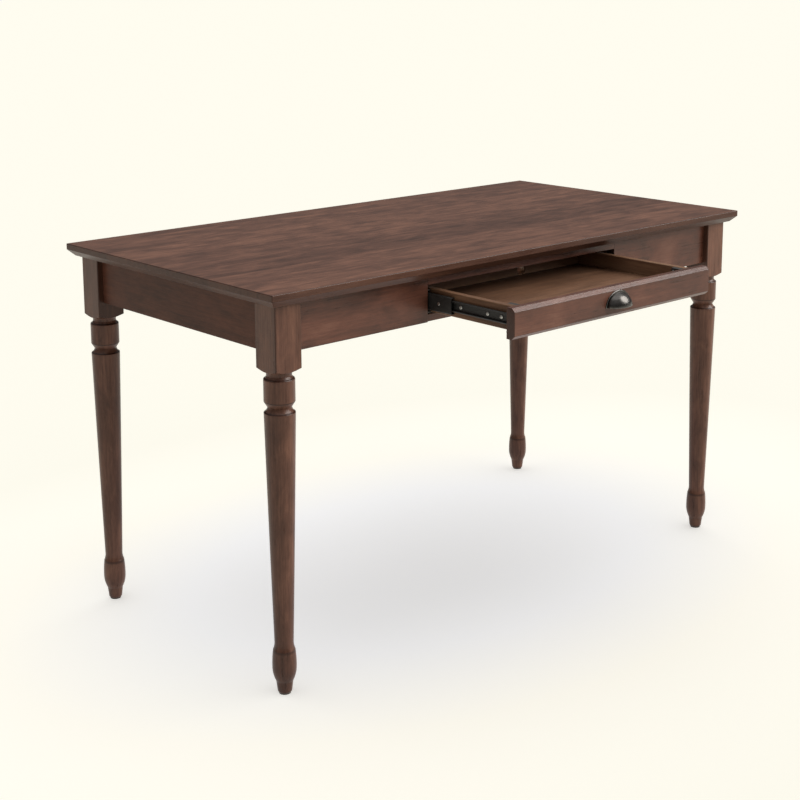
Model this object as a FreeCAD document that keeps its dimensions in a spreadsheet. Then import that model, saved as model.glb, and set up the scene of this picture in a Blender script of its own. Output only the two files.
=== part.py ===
import FreeCAD, Part
import operator
import os
from types import SimpleNamespace

import Sketcher
from FreeCAD import Placement, Rotation, Vector

# An open writing desk on four turned legs, with one shallow drop-front drawer in the middle of its
# front. Millimetres. The origin is on the floor under the centre of the top: +X to the sitter's
# right, -Y towards the sitter, +Z up. The drawer is drawn pulled part of the way out, front upright.

# Driving sizes: name, value, meaning
DRIVING_SIZES = (
    ("top_length", 1337, "top, left to right"),
    ("top_width", 684, "top, front to back"),
    ("desk_height", 762, "floor to the upper face of the top"),
    ("top_thickness", 25, "top at its full thickness"),
    ("top_edge", 12, "upright part of the top's edge, above the chamfer"),
    ("top_round", 1.5, "rounding of the top's upper arris"),
    ("leg_inset", 51, "edge of the top to the axis of a leg"),
    ("block_width", 58, "square block at the head of a leg"),
    ("block_height", 124.5, "height of that block"),
    ("shoulder_rise", 6, "turned shoulder that trims the block's lower corners"),
    ("glide_height", 3, "glide under a foot"),
    ("glide_radius", 11, "glide under a foot"),
    ("glide_nail_radius", 2, "nail of the glide"),
    ("glide_nail_length", 14, "nail of the glide"),
    ("foot_radius", 13.5, "lower end of the foot"),
    ("foot_round", 3, "rounded lower arris of the foot"),
    ("foot_height", 22, "foot below the bulb"),
    ("waist_radius", 15.9, "between foot and bulb"),
    ("bulb_height", 61, "bulb above the foot"),
    ("belly_radius", 22.5, "widest part of the bulb"),
    ("belly_height", 27, "foot to the widest part of the bulb"),
    ("bulb_swell", 1.7, "how far the bulb's lower curve stands out from its chord"),
    ("bulb_crown", 0.65, "how far its upper curve stands out"),
    ("bulb_top_radius", 20.6, "upper edge of the bulb"),
    ("ankle_height", 14.5, "hollow above the bulb"),
    ("ankle_radius", 17.7, "thinnest part of the long taper"),
    ("ankle_hollow", 0.8, "depth of that hollow's curve"),
    ("taper_swell", 0.3, "how far the long taper stands out from its chord"),
    ("collar_radius", 28.7, "upper end of the long taper"),
    ("collar_round", 2, "rounded upper arris of the taper"),
    ("collar_height", 8.5, "flare from the taper up to the neck"),
    ("neck_radius", 22, "neck below the ring"),
    ("neck_hollow", 0.9, "depth of the neck's curve"),
    ("neck_height", 10.5, "slope from the neck out to the ring"),
    ("ring_radius", 28.5, "plain ring below the block"),
    ("ring_height", 43, "plain ring below the block"),
    ("ring_round", 3, "rounded upper arris of the ring"),
    ("throat_radius", 23.2, "cove between ring and block"),
    ("throat_height", 4, "slope from the ring in to the cove"),
    ("cove_height", 9, "cove up to the block"),
    ("cove_hollow", 1, "depth of the cove's curve"),
    ("apron_setback", 11.75, "face of a leg block to the face of an apron"),
    ("apron_height", 91, "aprons"),
    ("apron_thickness", 20, "aprons"),
    ("tenon_length", 20, "apron tenon in a leg"),
    ("tenon_thickness", 10, "apron tenon"),
    ("tenon_shoulder", 12, "apron edge to tenon edge"),
    ("opening_half", 273, "half the width of the drawer opening"),
    ("upper_rail_height", 18.5, "rail over the drawer"),
    ("lower_rail_height", 14.5, "rail under the drawer"),
    ("lower_rail_rise", 0.5, "lower rail above the apron's lower edge"),
    ("lower_rail_setback", 3, "lower rail behind the apron's face"),
    ("rail_tenon_length", 12, "rail tenon in a front panel"),
    ("rail_tenon_thickness", 8, "rail tenon"),
    ("rail_shoulder", 3, "rail edge to tenon edge"),
    ("runner_thickness", 20, "bearer that carries a slide"),
    ("runner_height", 52, "bearer that carries a slide"),
    ("runner_tenon_length", 10, "bearer tenon in the aprons"),
    ("runner_tenon_thickness", 10, "bearer tenon"),
    ("runner_shoulder", 10, "bearer edge to tenon edge"),
    ("brace_gap", 2, "inner corner of a leg to its corner brace"),
    ("brace_thickness", 25, "corner brace"),
    ("brace_height", 60, "corner brace"),
    ("brace_drop", 12, "underside of the top to the brace"),
    ("bolt_radius", 4, "hanger bolt through a brace"),
    ("bolt_depth", 34, "hanger bolt inside the leg"),
    ("bolt_tail", 4, "hanger bolt beyond its nut"),
    ("bolt_hole_clearance", 0.5, "brace hole around the bolt"),
    ("washer_radius", 11, "washer under the nut"),
    ("washer_thickness", 1.6, "washer under the nut"),
    ("nut_width", 13, "hexagon nut across its flats"),
    ("nut_height", 6.5, "hexagon nut"),
    ("button_length", 30, "wooden top button along its apron"),
    ("button_reach", 28, "top button away from its apron"),
    ("button_height", 16, "top button"),
    ("tongue_depth", 8, "top button's tongue in its apron"),
    ("tongue_height", 7, "top button's tongue"),
    ("tongue_drop", 5, "underside of the top to the tongue"),
    ("rear_button_inset", 188.5, "leg block to the nearest button of the rear apron"),
    ("front_button_inset", 158.5, "leg block to the button of a front panel"),
    ("button_screw_bite", 12, "button screw inside the top"),
    ("screw_radius", 2, "shank of the wood screws"),
    ("screw_head_radius", 3.6, "head of the wood screws"),
    ("screw_head_height", 2, "head of the wood screws"),
    ("screw_clearance", 0.1, "hole around a screw, bolt or nail in wood"),
    ("drawer_open", 216, "how far out the drawer is drawn"),
    ("front_gap", 3, "closed drawer front to the apron's face"),
    ("slide_room", 13, "drawer side to the edge of the opening"),
    ("drawer_depth", 310, "drawer box, front to back"),
    ("drawer_lift", 3, "lower rail to the underside of the drawer box"),
    ("side_height", 46, "drawer sides and back"),
    ("side_thickness", 12.5, "drawer sides"),
    ("back_thickness", 12, "drawer back"),
    ("groove_depth", 6, "housings in the drawer sides and back"),
    ("bottom_thickness", 6, "drawer bottom"),
    ("front_rail_height", 9.5, "rail under the drawer bottom's front edge"),
    ("front_rail_depth", 20, "that rail, front to back"),
    ("cable_hole_radius", 10, "cable hole in the drawer back"),
    ("cable_hole_place", 68, "cable hole to the right of the middle"),
    ("cable_hole_lift", 0.5, "drawer bottom to the cable hole"),
    ("slide_length", 300, "slide members fixed to runner and drawer"),
    ("slide_inset", 3, "apron's face to the slide's front end"),
    ("slide_lift", 25, "lower rail to the middle of the slides"),
    ("slide_wall", 1.2, "sheet steel of the slides"),
    ("slide_lip", 1.3, "turned-in lips of the slides"),
    ("cabinet_height", 44, "slide member on the runner"),
    ("cabinet_reach", 10.2, "that member's flanges from the runner"),
    ("middle_length", 250, "middle slide member"),
    ("middle_setback", 45, "middle member behind the others when closed"),
    ("middle_height", 32, "middle slide member"),
    ("middle_place", 3.2, "runner to the middle member's web"),
    ("middle_reach", 12.2, "runner to the middle member's lips"),
    ("drawer_member_height", 21, "slide member on the drawer"),
    ("drawer_member_reach", 6.2, "runner to that member's lips"),
    ("cage_wall", 0.8, "sheet of the ball cages"),
    ("cage_length", 90, "ball cages"),
    ("outer_cage_place", 1.8, "runner to the outer cage's web"),
    ("outer_ball_place", 6.4, "runner to the outer balls"),
    ("inner_cage_place", 5, "runner to the inner cage's web"),
    ("inner_ball_place", 8.6, "runner to the inner balls"),
    ("cage_margin", 2.2, "ball centre to the open edge of its cage"),
    ("ball_clearance", 0.3, "ball to its races"),
    ("ball_spacing", 18, "between the balls of a row"),
    ("cabinet_screw_spacing", 110, "between the runner screws of a slide"),
    ("cabinet_screw_bite", 14, "those screws inside the runner"),
    ("drawer_screw_first", 36, "drawer's front end to the first slide screw"),
    ("drawer_screw_second", 71, "to the second"),
    ("drawer_screw_third", 141, "to the third"),
    ("drawer_screw_last", 262, "to the last"),
    ("drawer_screw_bite", 9, "those screws inside the drawer side"),
    ("front_overhang", 12.5, "drawer front beyond the edge of the opening"),
    ("front_height", 58.5, "drawer front"),
    ("front_thickness", 19.5, "drawer front"),
    ("front_overlap", 5.5, "drawer front below the lower rail's upper edge"),
    ("front_chamfer_height", 7, "chamfers along the drawer front"),
    ("front_chamfer_depth", 7.5, "chamfers along the drawer front"),
    ("pad_radius", 4, "bumper pads behind the drawer front"),
    ("pad_clearance", 0.3, "pad to the apron with the drawer closed"),
    ("pad_inset", 6.25, "end of the drawer front to a pad"),
    ("pad_margin", 12, "upper or lower edge of the front to a pad"),
    ("hinge_inset", 105.5, "end of the drawer front to the middle of a hinge"),
    ("hinge_length", 50, "butt hinge"),
    ("knuckle_radius", 4, "hinge knuckles"),
    ("knuckle_share", 16, "fixed knuckle along the hinge"),
    ("knuckle_gap", 0.4, "between two knuckles"),
    ("hinge_pin_radius", 1.5, "hinge pin"),
    ("hinge_pin_clearance", 0.08, "knuckle bore around the pin"),
    ("leaf_thickness", 2, "hinge leaves"),
    ("leaf_width", 16, "hinge leaves"),
    ("leaf_clearance", 0.5, "between the two leaves of a hinge"),
    ("swing_clearance", 1, "front's notch around the knuckles"),
    ("hinge_screw_spread", 30, "between the two screws of a leaf"),
    ("hinge_screw_radius", 1.5, "hinge and catch screws"),
    ("hinge_screw_head_radius", 2.7, "hinge and catch screws"),
    ("hinge_screw_bite", 6.5, "hinge screws inside the wood"),
    ("catch_width", 12, "magnetic catch from the drawer side"),
    ("catch_length", 36, "magnetic catch"),
    ("catch_height", 13, "magnetic catch"),
    ("catch_drop", 1, "upper edge of the drawer side to the catch"),
    ("catch_setback", 1, "drawer front to the catch"),
    ("catch_screw_bite", 8, "catch screws inside the drawer side"),
    ("catch_screw_head", 1.4, "head of a catch screw"),
    ("catch_screw_spread", 9, "between the screws of a catch"),
    ("magnet_width", 8, "magnet in a catch"),
    ("magnet_height", 9, "magnet in a catch"),
    ("magnet_length", 15, "magnet in a catch"),
    ("magnet_gap", 0.3, "magnet to its strike"),
    ("strike_thickness", 1.5, "strike plate let into the drawer front"),
    ("pull_half", 36, "half the width of the cup pull"),
    ("pull_height", 30.5, "cup pull with its rim"),
    ("pull_projection", 24, "cup pull from the drawer front"),
    ("pull_rim", 3.6, "rim of the cup pull around its dome"),
    ("pull_rim_thickness", 2, "rim of the cup pull"),
    ("pull_wall", 2, "wall of the dome"),
    ("pull_lift", 20.5, "lower edge of the front to the cup pull"),
    ("post_place", 22, "middle of the pull to a screw post"),
    ("post_lift", 9.5, "lower edge of the pull to a screw post"),
    ("post_radius", 3.6, "screw post in the cup pull"),
    ("pull_screw_bite", 8, "pull screw inside its post"),
)

LEFT, RIGHT = -1, 1
FRONT, REAR = -1, 1
SIDE_NAMES = {LEFT: "left", RIGHT: "right"}
CORNERS = (
    ("front_left", LEFT, FRONT, 0),
    ("front_right", RIGHT, FRONT, 90),
    ("rear_right", RIGHT, REAR, 180),
    ("rear_left", LEFT, REAR, 270),
)
ALONG_X, ALONG_Y, ALONG_Z = Vector(1, 0, 0), Vector(0, 1, 0), Vector(0, 0, 1)
DIAGONAL = 0.5 ** 0.5
OPERATIONS = {"+": operator.add, "-": operator.sub, "*": operator.mul, "/": operator.truediv}

doc = FreeCAD.newDocument("WritingDesk")
sheet = doc.addObject("Spreadsheet::Sheet", "Sizes")
nodes = []


class Size:
    """A length together with the sheet expression that gives it."""

    def __init__(self, value, text):
        self.value = value
        self.text = text

    def __add__(self, other):
        return combine(self, "+", other)

    def __radd__(self, other):
        return combine(other, "+", self)

    def __sub__(self, other):
        return combine(self, "-", other)

    def __rsub__(self, other):
        return combine(other, "-", self)

    def __mul__(self, other):
        return combine(self, "*", other)

    def __rmul__(self, other):
        return combine(other, "*", self)

    def __truediv__(self, other):
        return combine(self, "/", other)

    def __neg__(self):
        return combine(-1, "*", self)


def as_size(value):
    """Give a plain number the form of a size."""
    if isinstance(value, Size):
        return value
    return Size(float(value), f"({float(value)})")


def combine(left, sign, right):
    """Work out two sizes with one arithmetic sign, in value and in expression."""
    left, right = as_size(left), as_size(right)
    return Size(OPERATIONS[sign](left.value, right.value), f"({left.text} {sign} {right.text})")


def load_sizes():
    """Write the driving sizes to the sheet and return them by name."""
    sizes = {}
    for row, (name, value, meaning) in enumerate(DRIVING_SIZES, start=1):
        sheet.set(f"A{row}", meaning)
        sheet.set(f"B{row}", str(value))
        sheet.setAlias(f"B{row}", name)
        sizes[name] = Size(value, f"Sizes.{name}")
    doc.recompute()
    return SimpleNamespace(**sizes)


def bind(item, **sizes):
    """Tie properties of a document object to sizes."""
    for name, size in sizes.items():
        item.setExpression(name, as_size(size).text)


def place(item, point, rotation=Rotation()):
    """Turn an object and tie its place to a point given as three sizes."""
    item.Placement = Placement(Vector(*(as_size(part).value for part in point)), rotation)
    for axis, size in zip("xyz", point):
        item.setExpression(f".Placement.Base.{axis}", as_size(size).text)


def block(name, across, deep, high):
    """Box between a low and a high size along X, Y and Z."""
    item = doc.addObject("Part::Box", name)
    spans = {"Length": across, "Width": deep, "Height": high}
    bind(item, **{key: high_end - low_end for key, (low_end, high_end) in spans.items()})
    place(item, (across[0], deep[0], high[0]))
    return item


def rod(name, start, direction, radius, length):
    """Cylinder that runs from a point along a direction."""
    item = doc.addObject("Part::Cylinder", name)
    bind(item, Radius=radius, Height=length)
    place(item, start, Rotation(ALONG_Z, direction))
    return item


def cone(name, start, direction, first_radius, last_radius, length):
    """Cone frustum that runs from a point along a direction."""
    item = doc.addObject("Part::Cone", name)
    bind(item, Radius1=first_radius, Radius2=last_radius, Height=length)
    place(item, start, Rotation(ALONG_Z, direction))
    return item


def ball(name, centre, radius):
    """Sphere about a point."""
    item = doc.addObject("Part::Sphere", name)
    bind(item, Radius=radius)
    place(item, centre)
    return item


def dome(name, centre, across, deep, high):
    """Ellipsoid about a point, with its three half axes along X, Y and Z."""
    item = doc.addObject("Part::Ellipsoid", name)
    bind(item, Radius1=high, Radius2=across, Radius3=deep)
    place(item, centre)
    return item


def join(name, pieces):
    """Fuse touching pieces into one solid."""
    item = doc.addObject("Part::MultiFuse", name)
    item.Shapes = pieces
    item.Refine = True
    return item


def cut(name, base, tools):
    """Take one or more tools out of a base."""
    item = doc.addObject("Part::Cut", name)
    item.Base = base
    item.Tool = tools[0] if len(tools) == 1 else group(f"{name}_tools", tools)
    return item


def common(name, first, second):
    """Keep what two pieces share."""
    item = doc.addObject("Part::Common", name)
    item.Base = first
    item.Tool = second
    return item


def group(name, pieces):
    """Hold separate solids together as one object."""
    item = doc.addObject("Part::Compound", name)
    item.Links = pieces
    return item


def node(label, item):
    """Name a finished sub-part."""
    item.Label = label
    nodes.append(item)
    return item


def on_side(side, inner, outer):
    """Low and high X, or Y, of a span that lies between two distances on one side."""
    return (inner, outer) if side > 0 else (-outer, -inner)


def about(centre, width):
    """Low and high ends of a width about its centre."""
    return centre - width / 2, centre + width / 2


def new_body(name):
    """Empty body for sketched features."""
    return doc.addObject("PartDesign::Body", name)


def sketch_on(body, role, offset, corners):
    """Closed outline on an origin plane of the body, set off along the plane's normal.

    A corner is a pair of sizes, with a third where the stretch that follows is an arc: how far the
    arc stands out to the right of its chord.
    """
    sketch = body.newObject("Sketcher::SketchObject", f"{body.Name}_outline")
    plane = next(item for item in body.Origin.OriginFeatures if item.Role == role)
    sketch.AttachmentSupport = (plane, [""])
    sketch.MapMode = "FlatFace"
    sketch.setExpression(".AttachmentOffset.Base.z", as_size(offset).text)
    corners = [tuple(as_size(part) for part in corner) for corner in corners]
    ends = [draw_stretch(sketch, corner, corners[(index + 1) % len(corners)])
            for index, corner in enumerate(corners)]
    for index, corner in enumerate(corners):
        following = (index + 1) % len(corners)
        sketch.addConstraint(Sketcher.Constraint("Coincident", index, ends[index][1],
                                                 following, ends[following][0]))
        for kind, size in zip(("DistanceX", "DistanceY"), corner):
            fix = Sketcher.Constraint(kind, -1, 1, index, ends[index][0], size.value)
            sketch.setExpression(f"Constraints[{sketch.addConstraint(fix)}]", size.text)
    return sketch


def draw_stretch(sketch, corner, following):
    """Add the line or arc from one corner to the next, and return its start and end numbers."""
    start = Vector(corner[0].value, corner[1].value, 0)
    end = Vector(following[0].value, following[1].value, 0)
    if len(corner) == 2:
        sketch.addGeometry(Part.LineSegment(start, end), False)
        return 1, 2
    bulge = corner[2]
    chord = end - start
    to_right = Vector(chord.y, -chord.x, 0).normalize()
    middle = (start + end) * 0.5 + to_right * bulge.value
    index = sketch.addGeometry(Part.Arc(start, middle, end), False)
    across, up = following[0] - corner[0], following[1] - corner[1]
    height = bulge if bulge.value > 0 else -bulge
    radius = (across * across + up * up) / (8 * height) + height / 2
    fix = sketch.addConstraint(Sketcher.Constraint("Radius", index, radius.value))
    sketch.setExpression(f"Constraints[{fix}]", radius.text)
    gaps = [sketch.getPoint(index, number).distanceToPoint(start) for number in (1, 2)]
    return (1, 2) if gaps[0] < gaps[1] else (2, 1)


def pad(body, sketch, length, both_ways=False):
    """Extrude a sketch along its normal, or by half each way."""
    feature = body.newObject("PartDesign::Pad", f"{body.Name}_pad")
    feature.Profile = sketch
    feature.Midplane = both_ways
    bind(feature, Length=length)
    return feature


def turn(body, kind, sketch):
    """Revolve a sketch about its upright axis, adding (Revolution) or cutting (Groove)."""
    feature = body.newObject(f"PartDesign::{kind}", f"{body.Name}_{kind.lower()}")
    feature.Profile = sketch
    feature.ReferenceAxis = (sketch, ["V_Axis"])
    feature.Angle = 360
    return feature


def level_edges(shape, level):
    """Names of the edges that lie in a level plane."""
    return [f"Edge{number}" for number, edge in enumerate(shape.Edges, start=1)
            if all(abs(vertex.Z - level.value) < 1e-6 for vertex in edge.Vertexes)]


def dress(body, kind, feature, level, size):
    """Fillet or chamfer all edges of a feature at one level."""
    doc.recompute()
    finish = body.newObject(f"PartDesign::{kind}", f"{body.Name}_{kind.lower()}")
    finish.Base = (feature, level_edges(feature.Shape, level))
    bind(finish, **{"Radius" if kind == "Fillet" else "Size": size})
    return finish


def screw(name, seat, direction, head_radius, head_height, radius, length):
    """Pan-head screw: the head stands back from its seat and the shank runs on along the direction."""
    backwards = direction * -1
    return join(name, [rod(f"{name}_head", seat, backwards, head_radius, head_height),
                       rod(f"{name}_shank", seat, direction, radius, length)])


size = load_sizes()

# Places worked out from the sizes
top_under = size.desk_height - size.top_thickness
leg_x = size.top_length / 2 - size.leg_inset
leg_y = size.top_width / 2 - size.leg_inset
block_half = size.block_width / 2
block_bottom = top_under - size.block_height
apron_bottom = top_under - size.apron_height
front_face = leg_y + block_half - size.apron_setback
front_back = front_face - size.apron_thickness
side_face = leg_x + block_half - size.apron_setback
side_back = side_face - size.apron_thickness
between_legs_x = leg_x - block_half
between_legs_y = leg_y - block_half
tenon_low = apron_bottom + size.tenon_shoulder
tenon_high = top_under - size.tenon_shoulder
tenon_offset = block_half - size.apron_setback - size.apron_thickness / 2
opening_top = top_under - size.upper_rail_height
lower_rail_bottom = apron_bottom + size.lower_rail_rise
opening_bottom = lower_rail_bottom + size.lower_rail_height
runner_outer = size.opening_half + size.runner_thickness
runner_middle = size.opening_half + size.runner_thickness / 2
slide_level = opening_bottom + size.slide_lift
slide_rear = -front_face + size.slide_inset + size.slide_length
drawer_half = size.opening_half - size.slide_room
front_half = size.opening_half + size.front_overhang
hinge_middle = front_half - size.hinge_inset
rear_button = between_legs_x - size.rear_button_inset
front_button = between_legs_x - size.front_button_inset
box_front = -(front_face + size.front_gap + size.drawer_open)
box_rear = box_front + size.drawer_depth
box_bottom = opening_bottom + size.drawer_lift
box_top = box_bottom + size.side_height
box_inner = drawer_half - size.side_thickness
housing_end = box_inner + size.groove_depth
panel_bottom = box_bottom + size.front_rail_height
panel_top = panel_bottom + size.bottom_thickness
cable_level = panel_top + size.cable_hole_lift + size.cable_hole_radius
front_bottom = opening_bottom - size.front_overlap
front_top = front_bottom + size.front_height
front_outside = box_front - size.front_thickness
hinge_y = box_front - size.knuckle_radius
hinge_z = front_bottom + size.knuckle_radius
notch_depth = 2 * size.knuckle_radius + size.swing_clearance
pull_bottom = front_bottom + size.pull_lift
bolt_start = 2 * DIAGONAL * block_half - size.bolt_depth
brace_outer = 2 * DIAGONAL * block_half + size.brace_gap
brace_inner = brace_outer + size.brace_thickness
brace_top = top_under - size.brace_drop
brace_bottom = brace_top - size.brace_height
bolt_level = (brace_top + brace_bottom) / 2
screw_hole = size.screw_radius + size.screw_clearance
small_screw_hole = size.hinge_screw_radius + size.screw_clearance

# Wooden buttons that hold the top: name, the axis across the apron, side of the desk, apron's inner
# face and place along the apron
BUTTONS = (
    ("rear_left", "y", REAR, front_back, -rear_button),
    ("rear_middle", "y", REAR, front_back, as_size(0)),
    ("rear_right", "y", REAR, front_back, rear_button),
    ("front_left", "y", FRONT, front_back, -front_button),
    ("front_right", "y", FRONT, front_back, front_button),
    ("left", "x", LEFT, side_back, as_size(0)),
    ("right", "x", RIGHT, side_back, as_size(0)),
)


def tongue(button):
    """Tongue of a top button, and the slot of the same size in its apron."""
    name, axis, side, face, along = button
    high = top_under - size.tongue_drop
    spans = (about(along, size.button_length), on_side(side, face, face + size.tongue_depth))
    across, deep = spans if axis == "y" else spans[::-1]
    return block(f"tongue_{name}", across, deep, (high - size.tongue_height, high))


def button_screw_place(button):
    """Point under a top button where its screw's head sits."""
    _, axis, side, face, along = button
    inward = side * (face - size.button_reach / 2)
    return (along, inward) if axis == "y" else (inward, along)


def screw_bores(name, level, length):
    """Upright holes for the button screws, from a level up."""
    return [rod(f"{name}_{button[0]}", (*button_screw_place(button), level), ALONG_Z, screw_hole, length)
            for button in BUTTONS]


def slots(*names):
    """Slots for the tongues of the named buttons."""
    return [tongue(button) for button in BUTTONS if button[0] in names]


def make_top():
    """Top board: upright edge with a rounded upper arris, wide chamfer underneath."""
    body = new_body("top_board")
    half_x, half_y = size.top_length / 2, size.top_width / 2
    outline = [(-half_x, -half_y), (half_x, -half_y), (half_x, half_y), (-half_x, half_y)]
    board = pad(body, sketch_on(body, "XY_Plane", top_under, outline), size.top_thickness)
    under = dress(body, "Chamfer", board, top_under, size.top_thickness - size.top_edge)
    dress(body, "Fillet", under, size.desk_height, size.top_round)
    node("top_panel", cut("top_bored", body, screw_bores("top_bore", top_under, size.button_screw_bite)))


def turned_outline():
    """Half outline of the turned part of a leg, from the foot up to the block."""
    foot = size.glide_height
    waist = foot + size.foot_height
    bulb_top = waist + size.bulb_height
    ankle = bulb_top + size.ankle_height
    cove = block_bottom - size.cove_height
    ring_top = cove - size.throat_height
    ring_bottom = ring_top - size.ring_height
    neck = ring_bottom - size.neck_height
    collar = neck - size.collar_height
    arris = 1 - DIAGONAL
    return [
        (as_size(0), foot),
        (size.foot_radius - size.foot_round, foot, arris * size.foot_round),
        (size.foot_radius, foot + size.foot_round),
        (size.waist_radius, waist, size.bulb_swell),
        (size.belly_radius, waist + size.belly_height, size.bulb_crown),
        (size.bulb_top_radius, bulb_top, -size.ankle_hollow),
        (size.ankle_radius, ankle, size.taper_swell),
        (size.collar_radius, collar - size.collar_round, arris * size.collar_round),
        (size.collar_radius - size.collar_round, collar, -size.neck_hollow),
        (size.neck_radius, neck),
        (size.ring_radius, ring_bottom),
        (size.ring_radius, ring_top - size.ring_round, arris * size.ring_round),
        (size.ring_radius - size.ring_round, ring_top),
        (size.throat_radius, cove, -size.cove_hollow),
        (size.ring_radius - size.ring_round, block_bottom),
        (as_size(0), block_bottom),
    ]


def leg_blank(name):
    """Turned leg with its square block, about its own axis."""
    body = new_body(f"{name}_blank")
    turn(body, "Revolution", sketch_on(body, "XZ_Plane", 0, turned_outline()))
    square = [(-block_half, -block_half), (block_half, -block_half),
              (block_half, block_half), (-block_half, block_half)]
    pad(body, sketch_on(body, "XY_Plane", block_bottom, square), size.block_height)
    reach = 1.5 * block_half
    trimmed = [(block_half, block_bottom), (reach, block_bottom), (reach, block_bottom + size.shoulder_rise)]
    turn(body, "Groove", sketch_on(body, "XZ_Plane", 0, trimmed))
    return body


def make_leg(corner, side, end, angle):
    """One leg with two mortises, the bore for its corner bolt and the bore for its glide's nail."""
    name = f"leg_{corner}"
    deep = (block_half - size.tenon_length, block_half)
    thin = about(-tenon_offset, size.tenon_thickness)
    high = (tenon_low, tenon_high)
    start = (bolt_start * DIAGONAL, bolt_start * DIAGONAL, bolt_level)
    tools = [
        block(f"{name}_front_mortise", deep, thin, high),
        block(f"{name}_side_mortise", thin, deep, high),
        rod(f"{name}_bolt_bore", start, Vector(1, 1, 0),
            size.bolt_radius + size.screw_clearance, size.bolt_depth),
        rod(f"{name}_nail_bore", (0, 0, size.glide_height), ALONG_Z,
            size.glide_nail_radius + size.screw_clearance, size.glide_nail_length),
    ]
    leg = node(name, cut(f"{name}_jointed", leg_blank(name), tools))
    place(leg, (side * leg_x, end * leg_y, 0), Rotation(ALONG_Z, angle))


def make_glides():
    """Nailed glides under the four feet."""
    glides = []
    for corner, side, end, _ in CORNERS:
        x, y = side * leg_x, end * leg_y
        disc = rod(f"glide_disc_{corner}", (x, y, 0), ALONG_Z, size.glide_radius, size.glide_height)
        nail = rod(f"glide_nail_{corner}", (x, y, size.glide_height), ALONG_Z,
                   size.glide_nail_radius, size.glide_nail_length)
        glides.append(join(f"glide_{corner}", [disc, nail]))
    node("foot_glides", group("glides", glides))


def runner_mortises(end):
    """Mortises for the two slide bearers in the front panels or the rear apron, by side."""
    deep = on_side(end, front_back, front_back + size.runner_tenon_length)
    return {side: block(f"runner_mortise_{SIDE_NAMES[side]}",
                        about(side * runner_middle, size.runner_tenon_thickness), deep, runner_tenon_span())
            for side in (LEFT, RIGHT)}


def runner_tenon_span():
    """Low and high Z of a bearer's tenons."""
    return about(slide_level, size.runner_height - 2 * size.runner_shoulder)


def make_rear_apron():
    """Rear apron with a tenon at each end."""
    deep = (front_back, front_face)
    high = (apron_bottom, top_under)
    board = block("apron_rear_board", (-between_legs_x, between_legs_x), deep, high)
    reach = between_legs_x + size.tenon_length
    thin = about(leg_y + tenon_offset, size.tenon_thickness)
    tenons = block("apron_rear_tenons", (-reach, reach), thin, (tenon_low, tenon_high))
    tools = slots("rear_left", "rear_middle", "rear_right") + list(runner_mortises(REAR).values())
    node("apron_rear", cut("apron_rear_jointed", join("apron_rear_blank", [board, tenons]), tools))


def make_side_apron(side):
    """End apron with a tenon at each end."""
    name = f"apron_{SIDE_NAMES[side]}"
    board = block(f"{name}_board", on_side(side, side_back, side_face),
                  (-between_legs_y, between_legs_y), (apron_bottom, top_under))
    reach = between_legs_y + size.tenon_length
    tenons = block(f"{name}_tenons", about(side * (leg_x + tenon_offset), size.tenon_thickness),
                   (-reach, reach), (tenon_low, tenon_high))
    node(name, cut(f"{name}_jointed", join(f"{name}_blank", [board, tenons]), slots(SIDE_NAMES[side])))


def rail_tenon(name, across, face, high):
    """Stub tenon of a front rail, or the mortise for it."""
    middle = -(face + front_back) / 2
    low_end, high_end = high
    return block(name, across, about(middle, size.rail_tenon_thickness),
                 (low_end + size.rail_shoulder, high_end - size.rail_shoulder))


FRONT_RAILS = (
    ("front_upper_rail", front_face, (opening_top, top_under)),
    ("front_lower_rail", front_face - size.lower_rail_setback, (lower_rail_bottom, opening_bottom)),
)


def make_front_panel(side):
    """Full-height front apron beside the drawer, tenoned into its leg."""
    name = f"front_panel_{SIDE_NAMES[side]}"
    board = block(f"{name}_board", on_side(side, size.opening_half, between_legs_x),
                  (-front_face, -front_back), (apron_bottom, top_under))
    tenon = block(f"{name}_tenon", on_side(side, between_legs_x, between_legs_x + size.tenon_length),
                  about(-(leg_y + tenon_offset), size.tenon_thickness), (tenon_low, tenon_high))
    across = on_side(side, size.opening_half, size.opening_half + size.rail_tenon_length)
    tools = slots(f"front_{SIDE_NAMES[side]}") + [runner_mortises(FRONT)[side]]
    tools += [rail_tenon(f"{name}_{rail}", across, face, high) for rail, face, high in FRONT_RAILS]
    node(name, cut(f"{name}_jointed", join(f"{name}_blank", [board, tenon]), tools))


def make_front_rails():
    """Rails over and under the drawer, stub-tenoned into the front panels."""
    for name, face, high in FRONT_RAILS:
        rail = block(f"{name}_board", (-size.opening_half, size.opening_half), (-face, -front_back), high)
        reach = size.opening_half + size.rail_tenon_length
        node(name, join(f"{name}_jointed", [rail, rail_tenon(f"{name}_tenons", (-reach, reach), face, high)]))


def make_runner(side):
    """Bearer from front panel to rear apron that carries a slide."""
    name = f"runner_{SIDE_NAMES[side]}"
    bar = block(f"{name}_bar", on_side(side, size.opening_half, runner_outer),
                (-front_back, front_back), about(slide_level, size.runner_height))
    reach = front_back + size.runner_tenon_length
    tenons = block(f"{name}_tenons", about(side * runner_middle, size.runner_tenon_thickness),
                   (-reach, reach), runner_tenon_span())
    blank = join(f"{name}_blank", [bar, tenons])
    bores = [rod(f"{name}_bore", point, ALONG_X * side, screw_hole, size.cabinet_screw_bite)
             for point in cabinet_screw_places(side, size.opening_half)]
    node(name, cut(f"{name}_bored", blank, bores))


def cabinet_screw_places(side, distance):
    """Points along a slide where it is screwed to its runner, at a distance from the desk's middle."""
    middle = slide_rear - size.slide_length / 2
    return [(side * distance, middle + step * size.cabinet_screw_spacing, slide_level) for step in (-1, 0, 1)]


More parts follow.
